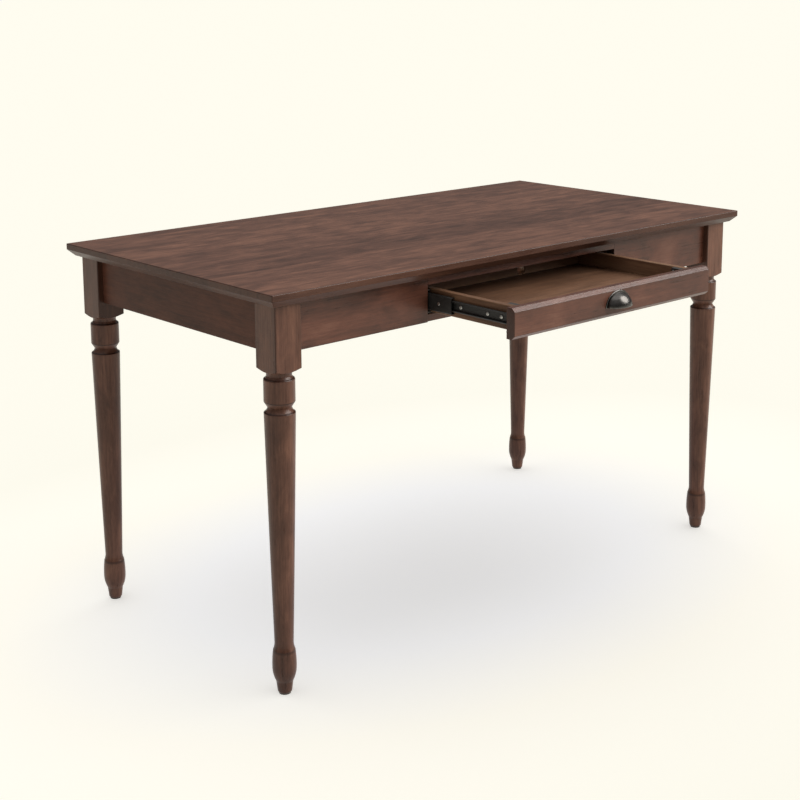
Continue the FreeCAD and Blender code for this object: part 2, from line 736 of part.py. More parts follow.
def make_corner(corner, side, end):
    """Corner brace between two aprons; returns its bolt, washer and nut."""
    edge = size.apron_setback + size.apron_thickness - block_half
    near, far = brace_outer / DIAGONAL, brace_inner / DIAGONAL
    local = [(edge, near - edge), (edge, far - edge), (far - edge, edge), (near - edge, edge)]
    outline = [(side * (leg_x - across), end * (leg_y - deep)) for across, deep in local]
    body = new_body(f"brace_{corner}")
    pad(body, sketch_on(body, "XY_Plane", brace_bottom, outline), size.brace_height)
    inward = Vector(-side, -end, 0)

    def along(name, start, radius, length):
        point = (side * (leg_x - start * DIAGONAL), end * (leg_y - start * DIAGONAL), bolt_level)
        return rod(f"{name}_{corner}", point, inward, radius, length)

    hole = size.bolt_radius + size.bolt_hole_clearance
    bore = along("brace_bore", brace_outer, hole, size.brace_thickness)
    node(f"corner_brace_{corner}", cut(f"brace_{corner}_bored", body, [bore]))
    nut_start = brace_inner + size.washer_thickness
    bolt_end = nut_start + size.nut_height + size.bolt_tail
    bolt = along("corner_bolt", bolt_start, size.bolt_radius, bolt_end - bolt_start)
    washer = cut(f"washer_{corner}",
                 along("washer_disc", brace_inner, size.washer_radius, size.washer_thickness),
                 [along("washer_hole", brace_inner, hole, size.washer_thickness)])
    hexagon = doc.addObject("Part::Prism", f"nut_hexagon_{corner}")
    hexagon.Polygon = 6
    bind(hexagon, Circumradius=size.nut_width / 3 ** 0.5, Height=size.nut_height)
    reach = nut_start * DIAGONAL
    place(hexagon, (side * (leg_x - reach), end * (leg_y - reach), bolt_level), Rotation(ALONG_Z, inward))
    thread = along("nut_thread", nut_start, size.bolt_radius + size.screw_clearance, size.nut_height)
    return bolt, washer, cut(f"nut_{corner}", hexagon, [thread])


def make_corners():
    """Corner braces with their bolts, washers and nuts."""
    fixings = zip(*(make_corner(corner, side, end) for corner, side, end, _ in CORNERS))
    for name, pieces in zip(("corner_bolts", "corner_washers", "corner_nuts"), fixings):
        node(name, group(f"{name}_set", list(pieces)))


def make_buttons():
    """Wooden buttons under the top, with their screws."""
    low = top_under - size.button_height
    buttons, screws = [], []
    for button, bore in zip(BUTTONS, screw_bores("button_bore", low, size.button_height)):
        name, axis, side, face, along = button
        spans = (about(along, size.button_length), on_side(side, face - size.button_reach, face))
        across, deep = spans if axis == "y" else spans[::-1]
        head = block(f"button_{name}", across, deep, (low, top_under))
        blank = join(f"button_blank_{name}", [head, tongue(button)])
        buttons.append(cut(f"button_bored_{name}", blank, [bore]))
        screws.append(screw(f"button_screw_{name}", (*button_screw_place(button), low), ALONG_Z,
                            size.screw_head_radius, size.screw_head_height, size.screw_radius,
                            size.button_height + size.button_screw_bite))
    node("top_buttons", group("buttons", buttons))
    node("button_screws", group("button_screw_set", screws))


def channel(name, side, web, edge, height, rear, length):
    """Slide member: a channel with turned-in lips, from the runner side at web to its lips at edge."""
    wall = size.slide_wall if edge.value > web.value else -size.slide_wall
    inside = height / 2 - size.slide_wall
    lip = inside - size.slide_lip
    half = [(web, height / 2), (edge, height / 2), (edge, lip), (edge - wall, lip),
            (edge - wall, inside), (web + wall, inside)]
    whole = half + [(reach, -level) for reach, level in reversed(half)]
    outline = [(side * (size.opening_half - reach), slide_level + level) for reach, level in whole]
    body = new_body(name)
    pad(body, sketch_on(body, "XZ_Plane", -rear, outline), length)
    return body


def make_cabinet_slide(side):
    """Slide member on the runner; returns its countersunk screws."""
    name = f"slide_cabinet_{SIDE_NAMES[side]}"
    member = channel(f"{name}_channel", side, as_size(0), size.cabinet_reach, size.cabinet_height,
                     slide_rear, size.slide_length)
    bores, screws = [], []
    for number, seat in enumerate(cabinet_screw_places(side, size.opening_half - size.slide_wall), start=1):
        inward = ALONG_X * side
        bores.append(cone(f"{name}_sink_{number}", seat, inward,
                          size.screw_head_radius + size.screw_clearance, screw_hole, size.slide_wall))
        head = cone(f"{name}_head_{number}", seat, inward,
                    size.screw_head_radius, size.screw_radius, size.slide_wall)
        shank = rod(f"{name}_shank_{number}", seat, inward, size.screw_radius,
                    size.slide_wall + size.cabinet_screw_bite)
        screws.append(join(f"{name}_screw_{number}", [head, shank]))
    node(name, cut(f"{name}_drilled", member, bores))
    return screws


def make_middle_slide(side):
    """Middle slide member, which follows the drawer by half."""
    rear = slide_rear - size.slide_length + size.middle_setback + size.middle_length - size.drawer_open / 2
    name = f"slide_middle_{SIDE_NAMES[side]}"
    node(name, channel(f"{name}_channel", side, size.middle_place, size.middle_reach, size.middle_height,
                       rear, size.middle_length))


def drawer_screw_places(side, distance):
    """Points along the drawer where its slide is screwed on, at a distance from the desk's middle."""
    steps = (size.drawer_screw_first, size.drawer_screw_second,
             size.drawer_screw_third, size.drawer_screw_last)
    return [(side * distance, box_front + step, slide_level) for step in steps]


def make_drawer_slide(side):
    """Slide member on the drawer side; returns its pan-head screws."""
    name = f"slide_drawer_{SIDE_NAMES[side]}"
    member = channel(f"{name}_channel", side, size.slide_room, size.drawer_member_reach,
                     size.drawer_member_height, slide_rear - size.drawer_open, size.slide_length)
    inward = ALONG_X * -side
    bores, screws = [], []
    for number, seat in enumerate(drawer_screw_places(side, drawer_half + size.slide_wall), start=1):
        bores.append(rod(f"{name}_hole_{number}", seat, inward, screw_hole, size.slide_wall))
        screws.append(screw(f"{name}_screw_{number}", seat, inward, size.screw_head_radius,
                            size.screw_head_height, size.screw_radius,
                            size.slide_wall + size.drawer_screw_bite))
    node(name, cut(f"{name}_drilled", member, bores))
    return screws


def make_cage(name, side, web, ball_place, races, middle_y):
    """Ball cage between two slide members: a web, two strips and a row of balls in each strip."""
    low_race, high_race = races
    level = (low_race + high_race) / 2
    radius = (high_race - low_race) / 2 - size.ball_clearance
    strip_edge = ball_place + size.cage_margin
    span = about(middle_y, size.cage_length)

    def strip(label, near, far, low, high):
        across = on_side(side, size.opening_half - far, size.opening_half - near)
        return block(f"{name}_{label}", across, span, (slide_level + low, slide_level + high))

    half = size.cage_wall / 2
    pieces = [strip("web", web, web + size.cage_wall, -level - half, level + half),
              strip("upper", web, strip_edge, level - half, level + half),
              strip("lower", web, strip_edge, -level - half, -level + half)]
    ball_x = side * (size.opening_half - ball_place)
    for row, height in (("upper", level), ("lower", -level)):
        for step in (-2, -1, 0, 1, 2):
            centre = (ball_x, middle_y + step * size.ball_spacing, slide_level + height)
            pieces.append(ball(f"{name}_{row}_ball", centre, radius))
    node(name, join(f"{name}_caged", pieces))


def make_cages(side):
    """The two ball cages of one slide. They follow the drawer by a quarter and by three quarters."""
    name = SIDE_NAMES[side]
    closed_front = slide_rear - size.slide_length
    outer_races = (size.middle_height / 2, size.cabinet_height / 2 - size.slide_wall)
    inner_races = (size.drawer_member_height / 2, size.middle_height / 2 - size.slide_wall)
    middle = closed_front + size.middle_setback + size.middle_length / 2
    make_cage(f"ball_cage_outer_{name}", side, size.outer_cage_place, size.outer_ball_place, outer_races,
              middle - size.drawer_open / 4)
    make_cage(f"ball_cage_inner_{name}", side, size.inner_cage_place, size.inner_ball_place, inner_races,
              middle - size.drawer_open * 3 / 4)


def make_slides():
    """Both telescopic slides with their screws."""
    cabinet_screws, drawer_screws = [], []
    for side in (LEFT, RIGHT):
        cabinet_screws += make_cabinet_slide(side)
        make_middle_slide(side)
        make_cages(side)
        drawer_screws += make_drawer_slide(side)
    node("cabinet_slide_screws", group("cabinet_screw_set", cabinet_screws))
    node("drawer_slide_screws", group("drawer_screw_set", drawer_screws))


def make_drawer_box():
    """Drawer sides, back with its cable hole, bottom, and the rail under the bottom's front edge."""
    back_face = box_rear - size.back_thickness
    rail_end = box_front + size.front_rail_depth
    panel_end = back_face + size.groove_depth
    high = (box_bottom, box_top)
    wide = (-housing_end, housing_end)

    def back_board(name):
        return block(name, wide, (back_face, box_rear), high)

    def front_rail(name):
        return block(name, wide, (box_front, rail_end), (box_bottom, panel_bottom))

    def panel(name):
        return block(name, wide, (box_front, panel_end), (panel_bottom, panel_top))

    for side in (LEFT, RIGHT):
        name = f"drawer_side_{SIDE_NAMES[side]}"
        board = block(f"{name}_board", on_side(side, box_inner, drawer_half), (box_front, box_rear), high)
        tools = [back_board(f"{name}_back_housing"), front_rail(f"{name}_rail_housing"),
                 panel(f"{name}_groove")]
        tools += [rod(f"{name}_slide_bore", point, ALONG_X * -side, screw_hole, size.drawer_screw_bite)
                  for point in drawer_screw_places(side, drawer_half)]
        tools += [rod(f"{name}_catch_bore", point, ALONG_X * side, small_screw_hole, size.catch_screw_bite)
                  for point in catch_screw_places(side, box_inner)]
        node(name, cut(f"{name}_housed", board, tools))
    hole = rod("cable_hole", (size.cable_hole_place, back_face, cable_level), ALONG_Y,
               size.cable_hole_radius, size.back_thickness)
    back = cut("drawer_back_grooved", back_board("drawer_back_board"), [panel("back_groove"), hole])
    node("drawer_back", back)
    node("drawer_bottom", panel("drawer_bottom_panel"))
    bores = [rod("rail_bore", point, ALONG_Z, small_screw_hole, size.hinge_screw_bite)
             for side in (LEFT, RIGHT) for point in fixed_leaf_screw_places(side, box_bottom)]
    node("drawer_front_rail", cut("front_rail_bored", front_rail("front_rail_bar"), bores))


def hinge_span(side):
    """Low and high X of a hinge."""
    return about(side * hinge_middle, size.hinge_length)


def fixed_knuckle_spans(side):
    """Low and high X of the two outer knuckles of a hinge."""
    low, high = hinge_span(side)
    return (low, low + size.knuckle_share), (high - size.knuckle_share, high)


def moving_knuckle_span(side):
    """Low and high X of the middle knuckle of a hinge."""
    (_, low), (high, _) = fixed_knuckle_spans(side)
    return low + size.knuckle_gap, high - size.knuckle_gap


def knuckle(name, span, radius):
    """Round length along the hinge axis."""
    low, high = span
    return rod(name, (low, hinge_y, hinge_z), ALONG_X, radius, high - low)


def fixed_leaf_screw_places(side, level):
    """Points under the drawer's front rail where a fixed leaf is screwed on."""
    y = box_front + size.leaf_width / 2
    return [(side * hinge_middle + step * size.hinge_screw_spread / 2, y, level) for step in (-1, 1)]


def moving_leaf_screw_places(side, y):
    """Points behind the drawer front where a moving leaf is screwed on."""
    level = front_bottom + notch_depth + size.leaf_width / 2
    return [(side * hinge_middle + step * size.hinge_screw_spread / 2, y, level) for step in (-1, 1)]


def make_fixed_leaf(side):
    """Hinge leaf under the drawer's front rail, with its two knuckles; returns its screws and pin."""
    name = f"hinge_fixed_leaf_{SIDE_NAMES[side]}"
    high = (box_bottom - size.leaf_thickness, box_bottom)
    start = box_front + size.leaf_clearance
    pieces = [block(f"{name}_plate", hinge_span(side), (start, box_front + size.leaf_width), high)]
    for number, span in enumerate(fixed_knuckle_spans(side), start=1):
        pieces.append(block(f"{name}_tab_{number}", span, (hinge_y, start), high))
        pieces.append(knuckle(f"{name}_knuckle_{number}", span, size.knuckle_radius))
    bores = [knuckle(f"{name}_bore", hinge_span(side), size.hinge_pin_radius + size.hinge_pin_clearance)]
    screws = []
    seat = box_bottom - size.leaf_thickness
    for number, point in enumerate(fixed_leaf_screw_places(side, seat), start=1):
        bores.append(countersink(f"{name}_sink_{number}", point, ALONG_Z))
        screws.append(countersunk(f"{name}_screw_{number}", point, ALONG_Z))
    node(name, cut(f"{name}_bored", join(f"{name}_blank", pieces), bores))
    pin = knuckle(f"{name}_pin", hinge_span(side), size.hinge_pin_radius)
    return screws, pin


def countersink(name, seat, direction):
    """Hole through a hinge leaf for a countersunk screw."""
    return cone(name, seat, direction, size.hinge_screw_head_radius + size.screw_clearance,
                small_screw_hole, size.leaf_thickness)


def countersunk(name, seat, direction):
    """Countersunk hinge screw, flush with the leaf."""
    head = cone(f"{name}_head", seat, direction, size.hinge_screw_head_radius, size.hinge_screw_radius,
                size.leaf_thickness)
    shank = rod(f"{name}_shank", seat, direction, size.hinge_screw_radius,
                size.leaf_thickness + size.hinge_screw_bite)
    return join(name, [head, shank])


def moving_plate(name, side):
    """Plate of a moving leaf, and the recess of the same size in the drawer front."""
    low = front_bottom + notch_depth
    return block(name, hinge_span(side), (box_front - size.leaf_thickness, box_front),
                 (low, low + size.leaf_width))


def make_moving_leaf(side):
    """Hinge leaf let into the back of the drawer front, with its middle knuckle; returns its screws."""
    name = f"hinge_moving_leaf_{SIDE_NAMES[side]}"
    span = moving_knuckle_span(side)
    tab = block(f"{name}_tab", span, (box_front - size.leaf_thickness, box_front),
                (hinge_z, front_bottom + notch_depth))
    pieces = [moving_plate(f"{name}_plate", side), tab, knuckle(f"{name}_knuckle", span, size.knuckle_radius)]
    bores = [knuckle(f"{name}_bore", span, size.hinge_pin_radius + size.hinge_pin_clearance)]
    screws = []
    for number, point in enumerate(moving_leaf_screw_places(side, box_front), start=1):
        bores.append(countersink(f"{name}_sink_{number}", point, ALONG_Y * -1))
        screws.append(countersunk(f"{name}_screw_{number}", point, ALONG_Y * -1))
    node(name, cut(f"{name}_bored", join(f"{name}_blank", pieces), bores))
    return screws


def make_hinges():
    """Two butt hinges between the drawer and its drop front."""
    drawer_screws, front_screws, pins = [], [], []
    for side in (LEFT, RIGHT):
        screws, pin = make_fixed_leaf(side)
        drawer_screws += screws
        pins.append(pin)
        front_screws += make_moving_leaf(side)
    node("hinge_pins", group("hinge_pin_set", pins))
    node("hinge_drawer_screws", group("hinge_drawer_screw_set", drawer_screws))
    node("hinge_front_screws", group("hinge_front_screw_set", front_screws))


def catch_span(side):
    """Low and high X of a catch."""
    return on_side(side, box_inner - size.catch_width, box_inner)


def catch_level():
    """Middle height of the catches."""
    return box_top - size.catch_drop - size.catch_height / 2


def catch_screw_places(side, distance):
    """Points where a catch is screwed to its drawer side, at a distance from the desk's middle."""
    rear = box_front + size.catch_setback + size.catch_length
    first = rear - size.catch_screw_spread / 2
    return [(side * distance, first - step * size.catch_screw_spread, catch_level()) for step in (0, 1)]


def magnet(name, side, front):
    """Magnet of a catch from its pole face back, or the pocket that holds it."""
    rear = box_front + size.catch_setback + size.magnet_length
    middle = side * (box_inner - size.catch_width / 2)
    return block(name, about(middle, size.magnet_width), (front, rear),
                 about(catch_level(), size.magnet_height))


def strike(name, side):
    """Strike plate of a catch, and the recess of the same size in the drawer front."""
    return block(name, catch_span(side), (box_front - size.strike_thickness, box_front),
                 about(catch_level(), size.catch_height))


def make_catches():
    """Magnetic catches on the drawer sides and their strike plates on the drawer front."""
    magnets, screws, strikes = [], [], []
    for side in (LEFT, RIGHT):
        name = f"catch_{SIDE_NAMES[side]}"
        front = box_front + size.catch_setback
        case = block(f"{name}_case", catch_span(side), (front, front + size.catch_length),
                     about(catch_level(), size.catch_height))
        tools = [magnet(f"{name}_pocket", side, front)]
        for number, seat in enumerate(catch_screw_places(side, box_inner - size.catch_width), start=1):
            outward = ALONG_X * side
            tools.append(rod(f"{name}_hole_{number}", seat, outward, small_screw_hole, size.catch_width))
            screws.append(screw(f"{name}_screw_{number}", seat, outward, size.hinge_screw_head_radius,
                                size.catch_screw_head, size.hinge_screw_radius,
                                size.catch_width + size.catch_screw_bite))
        node(name, cut(f"{name}_bored", case, tools))
        magnets.append(magnet(f"{name}_magnet", side, box_front + size.magnet_gap))
        strikes.append(strike(f"{name}_strike", side))
    node("catch_magnets", group("catch_magnet_set", magnets))
    node("catch_screws", group("catch_screw_set", screws))
    node("catch_strikes", group("catch_strike_set", strikes))


def pull_screw_places(y):
    """Points behind the cup pull's two screw posts."""
    return [(side * size.post_place, y, pull_bottom + size.post_lift) for side in (LEFT, RIGHT)]


def make_drawer_front():
    """Drop front: chamfered along its upper and lower outer edges, notched for the hinges."""
    body = new_body("drawer_front_board")
    depth, height = size.front_chamfer_depth, size.front_chamfer_height
    outline = [(box_front, front_bottom), (box_front, front_top), (front_outside + depth, front_top),
               (front_outside, front_top - height), (front_outside, front_bottom + height),
               (front_outside + depth, front_bottom)]
    pad(body, sketch_on(body, "YZ_Plane", 0, outline), 2 * front_half, both_ways=True)
    tools = []
    for side in (LEFT, RIGHT):
        notch = about(side * hinge_middle, size.hinge_length + size.swing_clearance)
        tools.append(block("hinge_notch", notch, (box_front - notch_depth, box_front),
                           (front_bottom, front_bottom + notch_depth)))
        tools += [moving_plate("leaf_recess", side), strike("strike_recess", side)]
        tools += [rod("leaf_bore", point, ALONG_Y * -1, small_screw_hole, size.hinge_screw_bite)
                  for point in moving_leaf_screw_places(side, box_front - size.leaf_thickness)]
    tools += [rod("pull_bore", point, ALONG_Y * -1, screw_hole, size.front_thickness)
              for point in pull_screw_places(box_front)]
    node("drawer_front", cut("drawer_front_notched", body, tools))


def make_pull():
    """Cup pull: a quarter dome with a thin rim, open below, with two posts for its screws."""
    centre = (0, front_outside, pull_bottom)
    reach = size.pull_half + size.pull_projection
    wide = (-reach, reach)
    above = (pull_bottom, pull_bottom + reach)
    room = block("pull_room", wide, (front_outside - reach, front_outside), above)
    rim_room = block("rim_room", wide, (front_outside - size.pull_rim_thickness, front_outside), above)
    across, high = size.pull_half - size.pull_rim, size.pull_height - size.pull_rim
    outer = dome("pull_outside", centre, across, size.pull_projection, high)
    shell = common("pull_dome", outer, room)
    oval = dome("rim_oval", centre, size.pull_half, size.pull_half, size.pull_height)
    rim = common("pull_rim_plate", oval, rim_room)
    hollow = dome("pull_hollow", centre, across - size.pull_wall, size.pull_projection - size.pull_wall,
                  high - size.pull_wall)
    cup = cut("pull_cup", join("pull_solid", [shell, rim]), [hollow])
    posts, bores = [], []
    for point in pull_screw_places(front_outside):
        blank = rod("post_blank", point, ALONG_Y * -1, size.post_radius, size.pull_projection)
        limit = dome("post_limit", centre, across, size.pull_projection, high)
        posts.append(common("pull_post", blank, limit))
        bores.append(rod("post_bore", point, ALONG_Y * -1, screw_hole, size.pull_screw_bite))
    node("cup_pull", cut("pull_bored", join("pull_posted", [cup, *posts]), bores))
    screws = [screw("pull_screw", point, ALONG_Y * -1, size.screw_head_radius, size.screw_head_height,
                    size.screw_radius, size.front_thickness + size.pull_screw_bite)
              for point in pull_screw_places(box_front)]
    node("pull_screws", group("pull_screw_set", screws))


def make_pads():
    """Bumper pads behind the ends of the drawer front, which meet the front panels."""
    thickness = size.front_gap - size.pad_clearance
    levels = (front_bottom + size.pad_margin, front_top - size.pad_margin)
    pads = [rod("bumper_pad", (side * (front_half - size.pad_inset), box_front, level), ALONG_Y,
                size.pad_radius, thickness)
            for side in (LEFT, RIGHT) for level in levels]
    node("bumper_pads", group("pad_set", pads))


def build():
    """Make every sub-part."""
    make_top()
    for corner in CORNERS:
        make_leg(*corner)
    make_glides()
    make_rear_apron()
    for side in (LEFT, RIGHT):
        make_side_apron(side)
        make_front_panel(side)
        make_runner(side)
    make_front_rails()
    make_corners()
    make_buttons()
    make_slides()
    make_drawer_box()
    make_hinges()
    make_catches()
    make_drawer_front()
    make_pull()
    make_pads()
    doc.recompute()


def check_and_export():
    """Stop if anything failed, then write each sub-part's shape."""
    failed = [item.Name for item in doc.Objects if {"Invalid", "Error"} & set(item.State)]
    bad = [item.Label for item in nodes if item.Shape.isNull() or not item.Shape.isValid()]
    if failed or bad:
        raise RuntimeError(f"failed objects {failed}, bad shapes {bad}")
    os.makedirs("parts", exist_ok=True)
    for item in nodes:
        item.Shape.exportStep(f"parts/{item.Label}.step")
        print(item.Label, "solids", len(item.Shape.Solids), "volume", round(item.Shape.Volume, 1))


build()
check_and_export()
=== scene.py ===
"""Looks of an open writing desk: a chamfered top on four turned legs, with one drop-front drawer.

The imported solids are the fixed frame. The boards, legs, slides, screws and cup pull that show are made
again here as worked-out surfaces with softened arrises, and the other solids get a finish. Metres: +X to
the sitter's right, -Y towards the sitter, +Z up, floor at zero.
"""

from __future__ import annotations

import logging
import math
import zlib
from dataclasses import dataclass
from enum import Enum

import bpy
import numpy as np
from mathutils import Matrix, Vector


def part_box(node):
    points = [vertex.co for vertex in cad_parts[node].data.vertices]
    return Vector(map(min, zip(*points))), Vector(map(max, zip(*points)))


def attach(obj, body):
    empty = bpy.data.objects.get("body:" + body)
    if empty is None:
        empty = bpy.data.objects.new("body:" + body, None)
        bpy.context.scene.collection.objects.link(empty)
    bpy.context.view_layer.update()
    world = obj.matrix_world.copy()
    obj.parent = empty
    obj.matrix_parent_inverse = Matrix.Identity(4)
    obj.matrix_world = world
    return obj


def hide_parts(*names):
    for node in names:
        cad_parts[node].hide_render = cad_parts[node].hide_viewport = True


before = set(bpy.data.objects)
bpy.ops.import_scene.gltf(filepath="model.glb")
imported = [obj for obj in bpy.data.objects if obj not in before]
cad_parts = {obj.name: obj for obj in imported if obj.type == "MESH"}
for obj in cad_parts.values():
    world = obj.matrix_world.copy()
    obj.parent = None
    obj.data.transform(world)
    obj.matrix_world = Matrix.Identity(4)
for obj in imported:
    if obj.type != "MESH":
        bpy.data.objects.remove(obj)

Array = np.ndarray
Pair = tuple[float, float]
Triple = tuple[float, float, float]
Colour = Triple
Row = tuple[float, Array, float]
MM = 0.001
LOG = logging.getLogger("writing_desk")

# Distance within which points become one, and a share that stands for nothing
WELD = 1e-7
TINY = 1e-6

# Flat beside a board's rounded arris, and how far a rivet or screw head reaches into its seat
BOARD_MARGIN = 1.6 * MM
SEATING = 0.2 * MM

# Angles that round an arris, and the wear at which rubbing starts and its span to full
QUARTER = np.radians([0.0, 30.0, 60.0, 90.0])
RUB_LEVEL = 0.2
RUB_SPAN = 0.8


class Side(Enum):
    """The two sides of the desk, with the sign of their X."""

    LEFT = -1
    RIGHT = 1

    @property
    def label(self) -> str:
        """Word that ends the names of this side's nodes."""
        return self.name.lower()

    @property
    def outward(self) -> Array:
        """Unit direction away from the middle of the desk."""
        return np.array([float(self.value), 0.0, 0.0])

    def faces(self, node: str) -> Pair:
        """X of a node's face towards the middle of the desk, and of its face away from it."""
        low, high = corner_of(node)
        return (high[0], low[0]) if self is Side.LEFT else (low[0], high[0])


class Grain(Enum):
    """Axis that a board's grain runs along, as the order of its axes: along, across and through."""

    ALONG_X = (0, 1, 2)
    ALONG_Y = (1, 0, 2)
    ALONG_Z = (2, 0, 1)


class Body(Enum):
    """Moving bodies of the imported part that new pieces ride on."""

    DESK = "desk"
    DRAWER = "drawer"
    FRONT = "drop_front"
    MIDDLE_LEFT = "middle_left"
    MIDDLE_RIGHT = "middle_right"


class Slot(Enum):
    """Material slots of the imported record."""

    WALNUT = "stained_walnut"
    DRAWER_WOOD = "drawer_wood"
    BLACK_STEEL = "black_steel"
    ZINC = "zinc_steel"
    PEWTER = "dark_pewter"


def opaque(colour: Colour) -> tuple[float, float, float, float]:
    """Add full opacity to a colour."""
    return (*colour, 1.0)


# Surfaces


@dataclass
class Outline:
    """Closed outline in a plane, counter-clockwise, with a rounding at each corner.

    At a corner, an arc touches both edges. Its centre is the corner moved back along the sum of the edges'
    outward normals by radius / (1 + cosine of the turn), and its points lie at radius along normals that
    run evenly from one edge's to the next. One more point on each edge, a margin past the arc, keeps the
    flats flat.
    """

    corners: Array
    radii: Array
    margin: float = 1.2 * MM
    steps: int = 4

    def __post_init__(self) -> None:
        """Work out edge directions, normals and arc centres."""
        self.corners = np.asarray(self.corners, float)
        self.radii = np.broadcast_to(np.asarray(self.radii, float), len(self.corners)).copy()
        leaving = np.roll(self.corners, -1, axis=0) - self.corners
        leaving = leaving / np.linalg.norm(leaving, axis=1, keepdims=True)
        coming = np.roll(leaving, 1, axis=0)
        self.directions = np.stack([coming, leaving], axis=1)
        self.normals = np.stack([self.directions[..., 1], -self.directions[..., 0]], axis=-1)
        cosine = np.sum(self.normals[:, 0] * self.normals[:, 1], axis=1, keepdims=True)
        self.bisectors = (self.normals[:, 0] + self.normals[:, 1]) / (1.0 + cosine)
        turn = coming[:, 0] * leaving[:, 1] - coming[:, 1] * leaving[:, 0]
        self.bulge = np.where(turn < 0.0, -1.0, 1.0) * self.radii
        self.centres = self.corners - self.bulge[:, None] * self.bisectors

    def columns(self, share: float = 1.0) -> Array:
        """Points of the rounded outline.

        Args:
            share: how much of each rounding is left, 1 on the sides and 0 on an end face.

        Returns:
            Points, (steps + 2) for each corner, as an array of pairs.
        """
        run = np.linspace(0.0, 1.0, self.steps)[None, :, None]
        fan = (1.0 - run) * self.normals[:, :1] + run * self.normals[:, 1:]
        fan = fan / np.linalg.norm(fan, axis=2, keepdims=True)
        arc = self.centres[:, None] + share * self.bulge[:, None, None] * fan
        reach = np.where(self.radii > 0.0, self.margin, 0.0)[:, None]
        before = arc[:, 0] - reach * self.directions[:, 0]
        after = arc[:, -1] + reach * self.directions[:, 1]
        return np.concatenate([before[:, None], arc, after[:, None]], axis=1).reshape(-1, 2)

    def inset(self, depth: float) -> Array:
        """Mitred outline at a depth inside the corners, with as many points as the columns."""
        return np.repeat(self.corners - depth * self.bisectors, self.steps + 2, axis=0)

    def wear(self) -> Array:
        """Wear of each column: none on the flats, full on an outward arc, negative in an inward one."""
        rub = np.interp(np.arange(self.steps + 2), [0, 1, 2, self.steps - 1, self.steps, self.steps + 1],
                        [0.0, 0.5, 1.0, 1.0, 0.5, 0.0])
        return (np.sign(self.bulge)[:, None] * rub[None, :]).reshape(-1)


@dataclass
class Skin:
    """Grid of points that closes round its columns, with a flat cap on its first and last row.

    Attributes:
        points: rows by columns by 3.
        wear: rows by columns, from -1 in a crevice, which the wood finish darkens as painted shade, to 1 on
            a rubbed arris.
        ring: whether the last row joins the first, in place of the caps.
    """

    points: Array
    wear: Array
    ring: bool = False

    def closed(self) -> tuple[Array, Array, list[Array]]:
        """Weld points that fall together and point every face outwards.

        A face's corners that became one are dropped. The sign of the volume, a sixth of the sum over
        triangles of the corners' triple product, says whether the faces have to be turned.

        Returns:
            Points, their wear, and the faces as arrays of point numbers.
        """
        rows, columns = self.wear.shape
        flat = self.points.reshape(-1, 3)
        _, first, place = np.unique(np.round(flat / WELD).astype(np.int64), axis=0,
                                    return_index=True, return_inverse=True)
        place = place.reshape(-1)
        index = np.arange(rows * columns).reshape(rows, columns)
        wide = np.concatenate([index, index[:, :1]], axis=1)
        if self.ring:
            wide = np.concatenate([wide, wide[:1]], axis=0)
        quads = np.stack([wide[:-1, :-1], wide[:-1, 1:], wide[1:, 1:], wide[1:, :-1]], axis=-1)
        quads = place[quads.reshape(-1, 4)]
        same = quads == np.roll(quads, -1, axis=1)
        folded = (quads[:, 0] == quads[:, 2]) | (quads[:, 1] == quads[:, 3])
        count = same.sum(axis=1)
        whole = quads[(count == 0) & ~folded]
        part = (count == 1) & ~folded
        order = np.argsort(same[part], axis=1, kind="stable")[:, :3]
        corners = np.take_along_axis(quads[part], order, axis=1)
        caps = [] if self.ring else [place[index[0][::-1]], place[index[-1]]]
        caps = [cap[cap != np.roll(cap, 1)] for cap in caps]
        caps = [cap for cap in caps if len(np.unique(cap)) > 2]
        points = flat[first]
        fans = [whole[:, [0, 1, 2]], whole[:, [0, 2, 3]], corners]
        fans += [np.stack([np.full(len(cap) - 2, cap[0]), cap[1:-1], cap[2:]], axis=1) for cap in caps]
        triangles = points[np.concatenate(fans)]
        volume = np.sum(triangles[:, 0] * np.cross(triangles[:, 1], triangles[:, 2]))
        faces = [*whole, *corners, *caps]
        if volume < 0.0:
            faces = [face[::-1] for face in faces]
        return points, self.wear.reshape(-1)[first], faces


